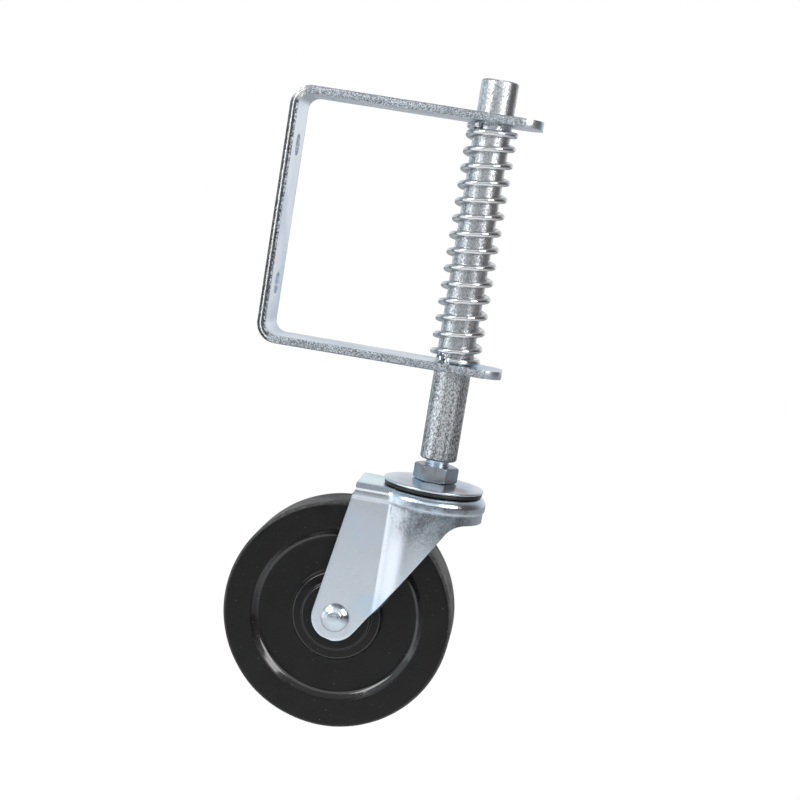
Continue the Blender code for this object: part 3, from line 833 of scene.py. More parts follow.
def crown_rows(outline):
    """Rows of points from the bore to an outline, each at its distance's own height.

    The first rows are circles about the rod's axis. The rest share out what is left to the outline.
    """
    rings = np.linspace(FORK_BORE, 23.6 * MM, 27)
    share = np.linspace(0, 1, 9)[1:]
    far = np.linalg.norm(outline - ROD_CENTRE[:2], axis=1)
    way = (outline - ROD_CENTRE[:2]) / far[:, None]
    inner = np.repeat(rings[:, None], len(outline), axis=1)
    outer = rings[-1] + (far - rings[-1])[None] * share[:, None]
    radius = np.concatenate([inner, outer])
    flat = ROD_CENTRE[:2] + way[None] * radius[..., None]
    return np.concatenate([flat, crown_height(radius)[..., None]], axis=-1)


def bend_rows(edge, out, bend):
    """Rows round the bend: out by radius times the angle's sine, down by radius times one less its cosine."""
    quarter = np.linspace(0, math.pi / 2, 9)[1:]
    bent = edge[None] + out[None] * (bend * np.sin(quarter))[:, None, None]
    height = CROWN_TOP - bend * (1 - np.cos(quarter))
    return np.concatenate([bent, np.repeat(height[:, None, None], len(edge), axis=1)], axis=-1)


def column_ends(plan, lean):
    """The height at which each column meets the lower outline, found by halving 50 times."""
    low = np.full(len(plan), AXLE_CENTRE[2] - LEG_END)
    high = np.full(len(plan), CROWN_BOTTOM)
    for _ in range(50):
        middle = (low + high) / 2
        above = middle > lower_edge(plan[:, 0] - lean * (FORK_BACK - back_edge(middle)))
        high = np.where(above, middle, high)
        low = np.where(above, low, middle)
    return (low + high) / 2


def wall_rows(plan, out, crease_step):
    """Rows down the legs and the skirt, from under the bend to the lower outline.

    Past the crease the wall steps in by a steep S curve, and by a shallow hollow beside the valley: a bell
    along the fork times a hump below the crease. Near the back it leans with the leg's back edge.
    """
    lean = np.clip((plan[:, 0] - FORK_BACK) / (15 * MM), 0, 1)
    lean = 0.5 + 0.5 * np.cos(math.pi * lean)
    to_crease = np.array([-142.6, -143.6, -144.0, -144.3, -144.6, -144.9, -145.3]) * MM
    down = np.linspace(0, 1, 58)[1:, None]
    rest = to_crease[-1] + (column_ends(plan, lean) - to_crease[-1])[None] * down
    heights = np.concatenate([np.repeat(to_crease[:, None], len(plan), axis=1), rest])
    step_in = 1 / (1 + np.exp(-(CREASE - heights) / (0.16 * MM)))
    below = np.maximum(CREASE - heights, 0)
    deepest = 2 * MM
    bell = np.exp(-((np.abs(plan[:, 0] - 92.0 * MM) / (4.5 * MM)) ** 2)) * (plan[:, 0] > 88 * MM)
    hollow = bell * below / deepest * np.exp(1 - below / deepest)
    inward = crease_step * step_in + 0.5 * MM * hollow
    x = plan[:, 0] - lean[None] * (FORK_BACK - back_edge(heights))
    return np.stack([x - out[:, 0] * inward, plan[:, 1] - out[:, 1] * inward, heights], axis=-1)


def pierced(points, quads):
    """The faces left once the axle's hole is opened, whose rim points are moved on to its circle."""
    middle = points[quads].mean(axis=1)
    from_axle = np.hypot(middle[:, 0] - AXLE_CENTRE[0], middle[:, 2] - AXLE_CENTRE[2])
    gone = (from_axle < AXLE_HOLE) & (middle[:, 2] < CROWN_BOTTOM)
    lip = np.intersect1d(quads[gone], quads[~gone])
    spoke = points[lip][:, [0, 2]] - AXLE_CENTRE[[0, 2]]
    spoke *= AXLE_HOLE / np.linalg.norm(spoke, axis=1)[:, None]
    points[lip[:, None], [0, 2]] = AXLE_CENTRE[[0, 2]] + spoke
    return quads[~gone]


def make_fork(sizes):
    """The pressed sheet's outer face as one grid, given its thickness inwards.

    Columns follow the plan outline. Each runs from the bore straight out over the crown, round the bend,
    down past the crease and on to the lower outline. A second grid fills the crown's tail.
    """
    plan = fork_plan(sizes.ridge_blend)
    out = plan_outward(plan)
    edge = plan - out * sizes.fork_bend
    rows = [crown_rows(edge), bend_rows(edge, out, sizes.fork_bend), wall_rows(plan, out, sizes.crease_step)]
    sheet = np.concatenate(rows)
    points = sheet.reshape(-1, 3)
    quads = pierced(points, grid_quads(*sheet.shape[:2]))

    tail = crown_rows(np.linspace(edge[0], edge[-1], 45))
    tail_quads = grid_quads(*tail.shape[:2])[:, ::-1] + len(points)
    everything = np.concatenate([points, tail.reshape(-1, 3)])
    obj = mesh_piece("fork_sheet", everything, np.concatenate([quads, tail_quads]))
    with edited(obj) as shape:
        bmesh.ops.remove_doubles(shape, verts=shape.verts, dist=2e-6)
        bmesh.ops.dissolve_degenerate(shape, edges=shape.edges, dist=1e-6)
        drop_loose_points(shape)
    face_out(obj, (0, 0, 1))
    thicken(obj, sizes.sheet, 0.4 * MM, 2, 55)
    return smooth(obj, 40)


# ---------------------------------------------------------------------------------------------------------
# The axle and the wheel
# ---------------------------------------------------------------------------------------------------------


def make_rivet(sizes):
    """The axle: a plain shank with a spun, domed head at each end, turned about Y.

    The head's height falls from its middle as the power of the radius's share, with a fine spun ring.
    """
    low, high = box("axle_rivet")
    reach = (high[1] - low[1]) / 2
    seat = HALF_WIDTH + 0.3 * MM
    head = 7.6 * MM
    share = np.linspace(0, 1, 26)
    dome = np.stack([share * head, reach - (reach - seat - 0.75 * MM) * share**2.6], axis=-1)
    dome[:, 1] -= 0.05 * MM * (1 - np.cos(share * TAU * 4)) * (share > 0.25) * (share < 0.8)
    rim = filleted(
        [dome[-1], (head, seat + 0.25 * MM), (head - 0.35 * MM, seat), (5 * MM, seat)], [0.15 * MM, 0.15 * MM]
    )
    half = np.concatenate([dome[:-1], rim])
    profile = np.concatenate([half, half[::-1] * np.array([1, -1])])
    return revolved("axle_pin", profile, AXLE_CENTRE, axis="Y", steps=sizes.turn_steps)


def make_tube(node, name, outer, inner, sizes):
    """A plain turned ring round the axle with broken edges."""
    low, high = box(node)
    break_edge = 0.25 * MM
    profile = filleted(
        [
            ((inner + outer) / 2, high[1]),
            (outer, high[1]),
            (outer, low[1]),
            (inner, low[1]),
            (inner, high[1]),
            ((inner + outer) / 2, high[1]),
        ],
        [break_edge] * 4,
        4,
    )[:-1]
    return revolved(name, profile, AXLE_LINE, axis="Y", steps=sizes.turn_steps, ring=True)


def make_wheel(sizes):
    """The moulded wheel: a profile of radius and width turned about Y, the same on both sides.

    From the bore out it has a hub boss, a lower hub step, the sunk web, the raised outer face and the
    tread, with its own radius at each corner. Waves of a few hundredths of a millimetre keep the tread
    from being perfect, and a thin mould line runs round its middle.
    """
    edge = sizes.tread_edge
    radius = WHEEL_RADIUS
    corners_of_half = [
        (9.5, 16.9, 0.0),
        (9.9, 17.2, 0.3),
        (18.7, 17.2, 0.8),
        (19.6, 15.9, 0.5),
        (24.4, 15.4, 0.8),
        (25.4, 12.8, 1.6),
        (44.4, 12.8, 4.5),
        (48.2, 16.2, 0.6),
        (63.5, 16.2, edge / MM),
        (63.5, 0.0, 0.0),
    ]
    table = np.array(corners_of_half) * MM
    half = filleted(table[:, :2], table[1:-1, 2], 9)
    half = resampled(half, 2.4 * MM)
    profile = np.concatenate([half, half[-2::-1] * np.array([1, -1])])
    uneven = bumpy(3, 20, 9 * MM, 40 * MM)

    def moulded(turn, across, width):
        points = np.stack([across * np.cos(turn), width, across * np.sin(turn)], axis=-1)
        wave = uneven(points.reshape(-1, 3)).reshape(turn.shape)
        tread = np.clip((across - radius + 2.2 * MM) / (2 * MM), 0, 1)
        line = np.exp(-((width / (0.5 * MM)) ** 2)) * (across > radius - MM)
        change = tread * (0.04 * wave - 0.09) + 0.08 * line
        return across + change * MM, width

    return revolved("tyre_and_hub", profile, AXLE_LINE, axis="Y", steps=256, ring=True, change=moulded)


# ---------------------------------------------------------------------------------------------------------
# Finishes
# ---------------------------------------------------------------------------------------------------------


def feed(tree, socket, value):
    """Joins a socket to another one, or gives it a value."""
    if isinstance(value, bpy.types.NodeSocket):
        tree.links.new(value, socket)
    else:
        socket.default_value = value


def node(tree, kind, inputs=None, **settings):
    """A node with its settings made and its inputs joined to sockets or given values."""
    made = tree.nodes.new(kind)
    for name, value in settings.items():
        setattr(made, name, value)
    for name, value in (inputs or {}).items():
        feed(tree, made.inputs[name], value)
    return made


def maths(tree, operation, *values, clamp=False):
    """One step of arithmetic on values."""
    made = node(tree, "ShaderNodeMath", operation=operation, use_clamp=clamp)
    for socket, value in zip(made.inputs, values):
        feed(tree, socket, value)
    return made.outputs[0]


def plus(tree, first, second):
    """The sum of two values."""
    return maths(tree, "ADD", first, second)


def minus(tree, first, second, clamp=False):
    """The first value less the second."""
    return maths(tree, "SUBTRACT", first, second, clamp=clamp)


def times(tree, first, *others, clamp=False):
    """The product of two or more values."""
    for other in others:
        first = maths(tree, "MULTIPLY", first, other, clamp=clamp)
    return first


def vectors(tree, operation, *values):
    """One step of arithmetic on vectors, whose result is a number for a length or a dot product."""
    made = node(tree, "ShaderNodeVectorMath", operation=operation)
    for socket, value in zip(made.inputs, values):
        feed(tree, socket, value)
    return made.outputs["Value" if operation in ("LENGTH", "DOT_PRODUCT") else "Vector"]


def mixed(tree, share, first, second):
    """Two colours mixed by a share."""
    made = node(tree, "ShaderNodeMix", data_type="RGBA", clamp_factor=True)
    for place, value in ((0, share), (6, first), (7, second)):
        feed(tree, made.inputs[place], value)
    return made.outputs[2]


def ranged(tree, value, low, high, start=0.0, end=1.0, smooth_step=True):
    """A value taken from one range to another, and held at the ends."""
    made = node(
        tree,
        "ShaderNodeMapRange",
        interpolation_type="SMOOTHSTEP" if smooth_step else "LINEAR",
        clamp=True,
        inputs={"Value": value, "From Min": low, "From Max": high, "To Min": start, "To Max": end},
    )
    return made.outputs["Result"]


def place_on(tree):
    """The place on the piece, in metres."""
    return node(tree, "ShaderNodeTexCoord").outputs["Object"]


def height_of(tree):
    """The place's own height."""
    return node(tree, "ShaderNodeSeparateXYZ", inputs={"Vector": place_on(tree)}).outputs["Z"]


def new_group(name, inputs, outputs):
    """An empty node group: its tree, what comes in and what goes out."""
    tree = bpy.data.node_groups.new(name, "ShaderNodeTree")
    for label, kind, value in inputs:
        tree.interface.new_socket(label, in_out="INPUT", socket_type=kind).default_value = value
    for label, kind in outputs:
        tree.interface.new_socket(label, in_out="OUTPUT", socket_type=kind)
    return tree, tree.nodes.new("NodeGroupInput").outputs, tree.nodes.new("NodeGroupOutput").inputs


WHITE = (1, 1, 1, 1)
VALUE, COLOUR, VECTOR = "NodeSocketFloat", "NodeSocketColor", "NodeSocketVector"


def make_speckle():
    """Grain: noise on the place times a stretch, as a mask between two levels and as a height."""
    inputs = (
        ("Stretch", VECTOR, (1000.0, 1000.0, 1000.0)),
        ("Roughness", VALUE, 0.6),
        ("Low", VALUE, 0.4),
        ("High", VALUE, 0.6),
    )
    tree, given, out = new_group("speckle", inputs, (("Mask", VALUE), ("Height", VALUE)))
    stretched = vectors(tree, "MULTIPLY", place_on(tree), given["Stretch"])
    noise = node(
        tree,
        "ShaderNodeTexNoise",
        inputs={"Vector": stretched, "Scale": 1.0, "Detail": 4.0, "Roughness": given["Roughness"]},
    )
    mask = ranged(tree, noise.outputs["Fac"], given["Low"], given["High"])
    tree.links.new(mask, out["Mask"])
    tree.links.new(noise.outputs["Fac"], out["Height"])


def make_clouds():
    """Passivation: soft clouds of a cool and of a warm tint over a base colour."""
    inputs = (
        ("Base", COLOUR, (0.7, 0.7, 0.7, 1.0)),
        ("Cool", COLOUR, (0.6, 0.7, 0.8, 1.0)),
        ("Warm", COLOUR, (0.7, 0.6, 0.6, 1.0)),
        ("Size", VALUE, 60.0),
        ("Amount", VALUE, 0.5),
    )
    tree, given, out = new_group("plating_clouds", inputs, (("Color", COLOUR), ("Mask", VALUE)))
    place = place_on(tree)
    cool = node(tree, "ShaderNodeTexNoise", inputs={"Vector": place, "Scale": given["Size"], "Detail": 2.0})
    moved = vectors(tree, "ADD", place, (0.31, 0.17, 0.53))
    warm = node(tree, "ShaderNodeTexNoise", inputs={"Vector": moved, "Scale": given["Size"], "Detail": 2.0})
    cool_share = ranged(tree, cool.outputs["Fac"], 0.48, 0.66)
    warm_share = ranged(tree, warm.outputs["Fac"], 0.52, 0.70)
    first = mixed(tree, times(tree, cool_share, given["Amount"]), given["Base"], given["Cool"])
    second = mixed(tree, times(tree, warm_share, given["Amount"]), first, given["Warm"])
    tree.links.new(second, out["Color"])
    tree.links.new(cool.outputs["Fac"], out["Mask"])


def make_rings():
    """Turning marks: a sine of the distance from an axis, unevened by noise."""
    inputs = (
        ("Centre", VECTOR, (0.0, 0.0, 0.0)),
        ("Across", VECTOR, (1.0, 0.0, 1.0)),
        ("Rings", VALUE, 9000.0),
    )
    tree, given, out = new_group("turning_rings", inputs, (("Height", VALUE), ("Distance", VALUE)))
    apart = vectors(tree, "SUBTRACT", place_on(tree), given["Centre"])
    distance = vectors(tree, "LENGTH", vectors(tree, "MULTIPLY", apart, given["Across"]))
    wave = maths(tree, "SINE", times(tree, distance, given["Rings"]))
    uneven = node(
        tree,
        "ShaderNodeTexNoise",
        noise_dimensions="1D",
        inputs={"W": times(tree, distance, 2400.0), "Scale": 1.0, "Detail": 3.0},
    )
    tree.links.new(plus(tree, wave, times(tree, uneven.outputs["Fac"], 3.0)), out["Height"])
    tree.links.new(distance, out["Distance"])


def make_past_edge():
    """A mask that is one where the place's part along an axis is past a limit, on both sides of a middle."""
    inputs = (
        ("Along", VECTOR, (0.0, 1.0, 0.0)),
        ("Middle", VALUE, 0.0),
        ("Start", VALUE, 0.0),
        ("End", VALUE, 1.0),
    )
    tree, given, out = new_group("past_edge", inputs, (("Mask", VALUE),))
    part = vectors(tree, "DOT_PRODUCT", place_on(tree), given["Along"])
    off = maths(tree, "ABSOLUTE", minus(tree, part, given["Middle"]))
    tree.links.new(ranged(tree, off, given["Start"], given["End"]), out["Mask"])


def make_round_mark():
    """A mask that is one within a radius of a place and falls to nothing over a second radius."""
    inputs = (
        ("Centre", VECTOR, (0.0, 0.0, 0.0)),
        ("Inner", VALUE, 0.001),
        ("Outer", VALUE, 0.002),
    )
    tree, given, out = new_group("round_mark", inputs, (("Mask", VALUE),))
    distance = vectors(tree, "LENGTH", vectors(tree, "SUBTRACT", place_on(tree), given["Centre"]))
    tree.links.new(ranged(tree, distance, given["Inner"], given["Outer"], 1.0, 0.0), out["Mask"])


def use(tree, group, **inputs):
    """A group placed in a material, with its own values."""
    made = tree.nodes.new("ShaderNodeGroup")
    made.node_tree = bpy.data.node_groups[group]
    for name, value in inputs.items():
        feed(tree, made.inputs[name], value)
    return made.outputs


def shader(name, **values):
    """A material with one Principled shader whose even values are set on its own sockets."""
    material = bpy.data.materials.new(name)
    material.use_nodes = True
    tree = material.node_tree
    surface = tree.nodes["Principled BSDF"]
    for label, value in values.items():
        surface.inputs[label.replace("_", " ")].default_value = value
    return material, tree, surface.inputs


def bump(tree, height, distance, strength):
    """A normal tipped by a height."""
    made = node(tree, "ShaderNodeBump", inputs={"Height": height, "Distance": distance, "Strength": strength})
    return made.outputs["Normal"]


def shade(value, factor):
    """A colour made darker or lighter."""
    return tuple(min(1.0, part * factor) for part in value) + (1.0,)


def tinted(value, red, green, blue):
    """A colour with each of its parts multiplied."""
    return (value[0] * red, value[1] * green, value[2] * blue, 1.0)


def clouded(tree, zinc, size, amount, cool=(0.84, 1.0, 1.10), warm=(1.02, 0.95, 1.0), base=1.0):
    """The passivation clouds over a plating's colour, with the tints given as factors of it."""
    return use(
        tree,
        "plating_clouds",
        Base=shade(zinc, base),
        Cool=tinted(zinc, *cool),
        Warm=tinted(zinc, *warm),
        Size=size,
        Amount=amount,
    )


def make_rod_finish(colours):
    """Zinc over a rough drawn bar: bright and dark flecks drawn out along it, coarser below the bracket."""
    _, tree, put = shader("rod_zinc", Metallic=1.0)
    flecks = use(tree, "speckle", Stretch=(1500, 1500, 700), Roughness=0.7, Low=0.45, High=0.555)
    fine = use(tree, "speckle", Stretch=(3200, 3200, 2200), Roughness=0.5, Low=0.40, High=0.60)
    streaks = use(tree, "speckle", Stretch=(420, 420, 18), Roughness=0.5, Low=0.42, High=0.60)
    under_leg = box("gate_bracket")[0][2]
    below = ranged(tree, height_of(tree), under_leg - 8.25 * MM, under_leg + 3.75 * MM, 1, 0)

    grain = plus(tree, times(tree, flecks["Mask"], 0.68), times(tree, fine["Mask"], 0.32))
    grain = plus(tree, grain, times(tree, streaks["Mask"], 0.25))
    share = minus(tree, grain, times(tree, below, 0.16), clamp=True)
    clouds = clouded(tree, colours.zinc, 45, 0.5)
    light = mixed(tree, 0.55, clouds["Color"], WHITE)
    dark = mixed(tree, below, shade(colours.zinc_dark, 0.66), shade(colours.zinc_dark, 0.30))
    tree.links.new(mixed(tree, share, dark, light), put["Base Color"])

    rough = plus(tree, ranged(tree, share, 0, 1, 0.42, 0.24), times(tree, below, 0.06))
    tree.links.new(rough, put["Roughness"])
    height = plus(tree, flecks["Height"], times(tree, fine["Height"], 0.35))
    height = times(tree, height, plus(tree, 1.0, times(tree, below, 1.2)))
    tree.links.new(bump(tree, height, 0.00012, 0.6), put["Normal"])


def depth_in_strap(tree, wobble):
    """How deep a place on the strap's cut edge lies under its outer face, moved a little by a height.

    Depth = the bend's radius - the distance to the bend's centre line, which the straight legs keep too.
    """
    part = node(tree, "ShaderNodeSeparateXYZ", inputs={"Vector": place_on(tree)}).outputs
    straight = box("gate_bracket")[1][2] - STRAP_BEND
    out_x = maths(tree, "MAXIMUM", minus(tree, STRAP_BEND, part["X"]), 0.0)
    out_z = maths(tree, "MAXIMUM", minus(tree, maths(tree, "ABSOLUTE", part["Z"]), straight), 0.0)
    out = node(tree, "ShaderNodeCombineXYZ", inputs={"X": out_x, "Z": out_z}).outputs[0]
    moved = times(tree, minus(tree, wobble, 0.5), 1.1 * MM)
    return plus(tree, minus(tree, STRAP_BEND, vectors(tree, "LENGTH", out)), moved), part, out_z


def make_strap_finish(colours):
    """Zinc strap: smooth cloudy faces and speckled cut edges. On the cut edges, painted shade gives a dark
    line along the legs and two dark lines down the gate face, beside a painted highlight line over a real
    ridge in the bump; the upper bends carry a painted highlight.
    """
    _, tree, put = shader("strap_zinc", Metallic=1.0)
    half = box_size("gate_bracket")[1] / 2
    edge = use(tree, "past_edge", Along=(0, 1, 0), Middle=0.0, Start=half - 0.9 * MM, End=half - 0.5 * MM)
    flecks = use(tree, "speckle", Stretch=(1500, 1500, 1700), Roughness=0.7, Low=0.42, High=0.58)
    marble = use(tree, "speckle", Stretch=(1500, 1500, 900), Roughness=0.7, Low=0.46, High=0.56)
    skin = use(tree, "speckle", Stretch=(900, 900, 900), Roughness=0.55, Low=0.3, High=0.7)
    depth, part, out_z = depth_in_strap(tree, marble["Height"])

    def line(middle, width):
        """A soft line along the cut edge: one at a depth in millimetres, nothing past its half width."""
        off = maths(tree, "ABSOLUTE", minus(tree, depth, middle * MM))
        return ranged(tree, off, width * 0.4 * MM, width * MM, 1, 0)

    on_back = ranged(tree, part["X"], 0.0060, 0.0085, 1, 0)
    # Painted shade: two dark lines down the gate face's cut edge, 0.65 mm and 2.75 mm under the outer face.
    painted_shade_lines = maths(tree, "MAXIMUM", line(0.65, 0.85), line(2.75, 0.95))
    bent = times(tree, ranged(tree, out_z, 0.001, 0.006), on_back)
    # Painted highlight: the cut edge pales towards white over the upper half of the bends.
    pale = times(tree, bent, ranged(tree, part["Z"], 0.0, 0.01, 0.0, 0.62))
    clouds = clouded(tree, colours.zinc, 30, 0.8)
    face = mixed(tree, times(tree, skin["Mask"], 0.16), clouds["Color"], shade(colours.zinc, 0.72))

    leg_cut = mixed(tree, flecks["Mask"], shade(colours.zinc_dark, 0.62), shade(colours.zinc, 0.98))
    # Painted shade: a dark line along the legs' cut edge, 0.25 mm under the outer face.
    outline = times(tree, line(0.25, 0.5), 0.55)
    leg_cut = mixed(tree, outline, leg_cut, shade(colours.zinc_dark, 0.6))
    back_cut = mixed(tree, marble["Mask"], shade(colours.zinc_dark, 0.45), shade(colours.zinc, 0.95))
    # worn is only how strongly the painted shade lines show, broken up by the flecks.
    worn = plus(tree, 0.70, times(tree, flecks["Mask"], 0.28))
    back_cut = mixed(tree, times(tree, painted_shade_lines, worn), back_cut, shade(colours.zinc_dark, 0.15))
    # Painted highlight: a white line 1.7 mm under the outer face, joined by the painted highlight on the upper
    # bends.
    back_cut = mixed(tree, maths(tree, "MAXIMUM", line(1.7, 0.36), pale), back_cut, WHITE)
    cut = mixed(tree, on_back, leg_cut, back_cut)
    tree.links.new(mixed(tree, edge["Mask"], face, cut), put["Base Color"])

    even = ranged(tree, clouds["Mask"], 0.35, 0.65, 0.24, 0.34)
    tree.links.new(plus(tree, even, times(tree, edge["Mask"], 0.10)), put["Roughness"])
    ridge = times(tree, line(1.9, 0.8), on_back, 1.5)
    etched = plus(tree, flecks["Height"], times(tree, marble["Height"], on_back))
    etched = plus(tree, etched, ridge)
    height = plus(tree, times(tree, skin["Height"], 0.22), times(tree, edge["Mask"], etched))
    tree.links.new(bump(tree, height, 0.00022, 0.7), put["Normal"])


def make_fork_finish(colours):
    """Zinc pressing: satin and cloudy. The crown's front carries painted shade, darkest below the crease and
    in a band above it, broken up by real mottle; a small dent carries painted shade too, and the tail's top a
    cyan tint with painted light.
    """
    _, tree, put = shader("fork_zinc", Metallic=1.0)
    clouds = clouded(tree, colours.zinc, 38, 0.6)
    skin = use(tree, "speckle", Stretch=(1500, 1500, 1500), Roughness=0.6, Low=0.3, High=0.7)
    mottle = use(tree, "speckle", Stretch=(900, 900, 600), Roughness=0.7, Low=0.40, High=0.64)
    patches = use(tree, "speckle", Stretch=(150, 150, 110), Roughness=0.5, Low=0.36, High=0.66)
    front = (ROD_CENTRE[0] + 0.004, -0.03, -0.149)
    crown = use(tree, "round_mark", Centre=front, Inner=0.012, Outer=0.036)
    past_leg = use(tree, "past_edge", Along=(1, 0, 0), Middle=0.060, Start=0.0275, End=0.0300)
    # The crown's front right of the valley: its colour is darkened there by painted shade, and it is glossier
    # and grainier.
    drawn = times(tree, past_leg["Mask"], crown["Mask"])

    level = height_of(tree)
    # Painted shade below the crease, darkest a few millimetres under it, broken up by patches.
    near = use(tree, "past_edge", Along=(0, 0, 1), Middle=-0.1470, Start=0.002, End=0.022)
    under = times(tree, ranged(tree, level, -0.1452, -0.1440, 1, 0), minus(tree, 1.0, near["Mask"]))
    # Painted shade: a dark band, in patches, between the shoulder's highlights and the crease.
    painted_shade_band = times(
        tree, ranged(tree, level, -0.1440, -0.1432), ranged(tree, level, -0.1412, -0.1400, 1, 0)
    )
    dark = times(tree, under, plus(tree, 0.42, times(tree, patches["Mask"], 0.55)))
    dark = plus(tree, dark, times(tree, painted_shade_band, times(tree, patches["Mask"], 0.55)))
    # Painted shade over the whole crown front, added to the bands above and broken up by the mottle.
    dark = times(tree, plus(tree, dark, 0.22), drawn)
    grit = times(tree, mottle["Mask"], -0.5)
    share = times(tree, dark, plus(tree, 1.1, grit), clamp=True)

    face = mixed(tree, times(tree, skin["Mask"], 0.12), clouds["Color"], shade(colours.zinc, 0.75))
    # A cyan tint on the tail's top face, partly painted light: it is much lighter than the zinc round it.
    tail = use(tree, "round_mark", Centre=(0.0770, 0.004, CROWN_TOP), Inner=0.014, Outer=0.028)
    upper = ranged(tree, level, CROWN_TOP - 3 * MM, CROWN_TOP - MM)
    face = mixed(tree, times(tree, tail["Mask"], upper, 0.85), face, (0.80, 1.0, 1.0, 1))
    deep = tinted(colours.zinc_dark, 0.72, 0.74, 0.78)
    # worn is the face with the painted shade mixed in.
    worn = mixed(tree, times(tree, share, 0.95), face, deep)
    # A small dent: the bump sinks it and painted shade darkens its colour.
    dent_and_shade = use(tree, "round_mark", Centre=(0.1243, -0.0256, -0.1485), Inner=0.0006, Outer=0.0013)
    marked = mixed(tree, times(tree, dent_and_shade["Mask"], 0.8), worn, shade(colours.zinc_dark, 0.4))
    tree.links.new(marked, put["Base Color"])

    satin = ranged(tree, clouds["Mask"], 0.35, 0.65, 0.25, 0.33)
    tree.links.new(minus(tree, satin, times(tree, drawn, 0.13)), put["Roughness"])
    grain = times(tree, mottle["Height"], times(tree, drawn, 0.9))
    height = plus(tree, times(tree, skin["Height"], 0.25), grain)
    sunk = minus(tree, height, times(tree, dent_and_shade["Mask"], 2.0))
    tree.links.new(bump(tree, sunk, 0.0002, 0.6), put["Normal"])


def make_plate_finish(colours):
    """The swivel's plates: bright, smooth zinc with faint turned rings and broad tints, and painted shade that
    darkens them towards the middle, round the nut.
    """
    _, tree, put = shader("plate_zinc", Metallic=1.0)
    clouds = clouded(tree, colours.zinc, 34, 1.0, (0.80, 0.95, 1.12), (1.0, 0.90, 0.88))
    rings = use(tree, "turning_rings", Centre=ROD_LINE, Across=(1, 1, 0), Rings=7000.0)
    skin = use(tree, "speckle", Stretch=(800, 800, 800), Roughness=0.55, Low=0.3, High=0.7)
    spot = (ROD_CENTRE[0] + 0.0145, -0.0150, -0.1318)
    stain = use(tree, "round_mark", Centre=spot, Inner=0.002, Outer=0.0085)

    plain = mixed(tree, times(tree, skin["Mask"], 0.10), clouds["Color"], shade(colours.zinc, 0.78))
    # Painted shade: darker towards the middle, round the nut and over the bolt.
    inner = ranged(tree, rings["Distance"], 0.018, 0.026, 1, 0)
    plain = mixed(tree, times(tree, inner, 0.45), plain, shade(colours.zinc, 0.58))
    tinge = mixed(tree, times(tree, stain["Mask"], 0.75), plain, tinted(colours.zinc, 0.52, 0.36, 0.31))
    tree.links.new(tinge, put["Base Color"])
    tree.links.new(ranged(tree, clouds["Mask"], 0.35, 0.65, 0.18, 0.28), put["Roughness"])
    height = plus(tree, times(tree, rings["Height"], 0.05), skin["Height"])
    tree.links.new(bump(tree, height, 0.00006, 0.5), put["Normal"])


def make_fastener_finish(colours):
    """Nut, bolt and washers: smooth bright zinc with a cool cast and a few fine marks."""
    _, tree, put = shader("nut_zinc", Metallic=1.0)
    clouds = clouded(tree, colours.zinc, 120, 1.0, (0.56, 0.70, 0.80), (0.46, 0.38, 0.36), 0.60)
    marks = use(tree, "speckle", Stretch=(1800, 1800, 1800), Roughness=0.6, Low=0.62, High=0.70)
    marked = mixed(tree, times(tree, marks["Mask"], 0.35), clouds["Color"], shade(colours.zinc_dark, 1.2))
    tree.links.new(marked, put["Base Color"])
    tree.links.new(ranged(tree, clouds["Mask"], 0.35, 0.65, 0.27, 0.38), put["Roughness"])
    tree.links.new(bump(tree, marks["Height"], 0.00008, 0.5), put["Normal"])


def make_rivet_finish(colours):
    """The spun rivet: polished, with fine rings about its axis."""
    _, tree, put = shader("rivet_zinc", Metallic=1.0)
    clouds = clouded(tree, colours.zinc, 110, 0.6, (0.92, 1.0, 1.02), (1.02, 0.97, 0.97), 0.82)
    rings = use(tree, "turning_rings", Centre=tuple(AXLE_CENTRE), Across=(1, 0, 1), Rings=9500.0)
    rim = times(tree, ranged(tree, rings["Distance"], 0.0066, 0.0076), 0.5)
    tree.links.new(mixed(tree, rim, clouds["Color"], shade(colours.zinc_dark, 0.8)), put["Base Color"])
    tree.links.new(ranged(tree, clouds["Mask"], 0.35, 0.65, 0.15, 0.23), put["Roughness"])
    tree.links.new(bump(tree, rings["Height"], 0.000016, 0.7), put["Normal"])


def make_wire_finish(colours):
    """Bright plated wire and pins: nearly a mirror, a little uneven along the wire."""
    _, tree, put = shader("bright_wire", Metallic=1.0)
    clouds = clouded(tree, colours.steel, 120, 0.5, (0.92, 0.97, 1.04), (1.0, 0.95, 0.90))
    skin = use(tree, "speckle", Stretch=(900, 900, 900), Roughness=0.5, Low=0.35, High=0.65)
    dulled = mixed(tree, times(tree, skin["Mask"], 0.10), clouds["Color"], shade(colours.steel, 0.7))
    tree.links.new(dulled, put["Base Color"])
    tree.links.new(ranged(tree, skin["Mask"], 0, 1, 0.10, 0.19), put["Roughness"])
    tree.links.new(bump(tree, skin["Height"], 0.00004, 0.5), put["Normal"])


def make_ball_finish(colours):
    """Bearing balls: polished, with a thin film of grease in patches."""
    _, tree, put = shader("bearing_steel", Metallic=1.0)
    grease = use(tree, "speckle", Stretch=(500, 500, 500), Roughness=0.5, Low=0.5, High=0.62)
    film = times(tree, grease["Mask"], 0.4)
    tree.links.new(mixed(tree, film, shade(colours.steel, 1.0), (0.35, 0.28, 0.16, 1)), put["Base Color"])
    tree.links.new(ranged(tree, grease["Mask"], 0, 1, 0.06, 0.30), put["Roughness"])


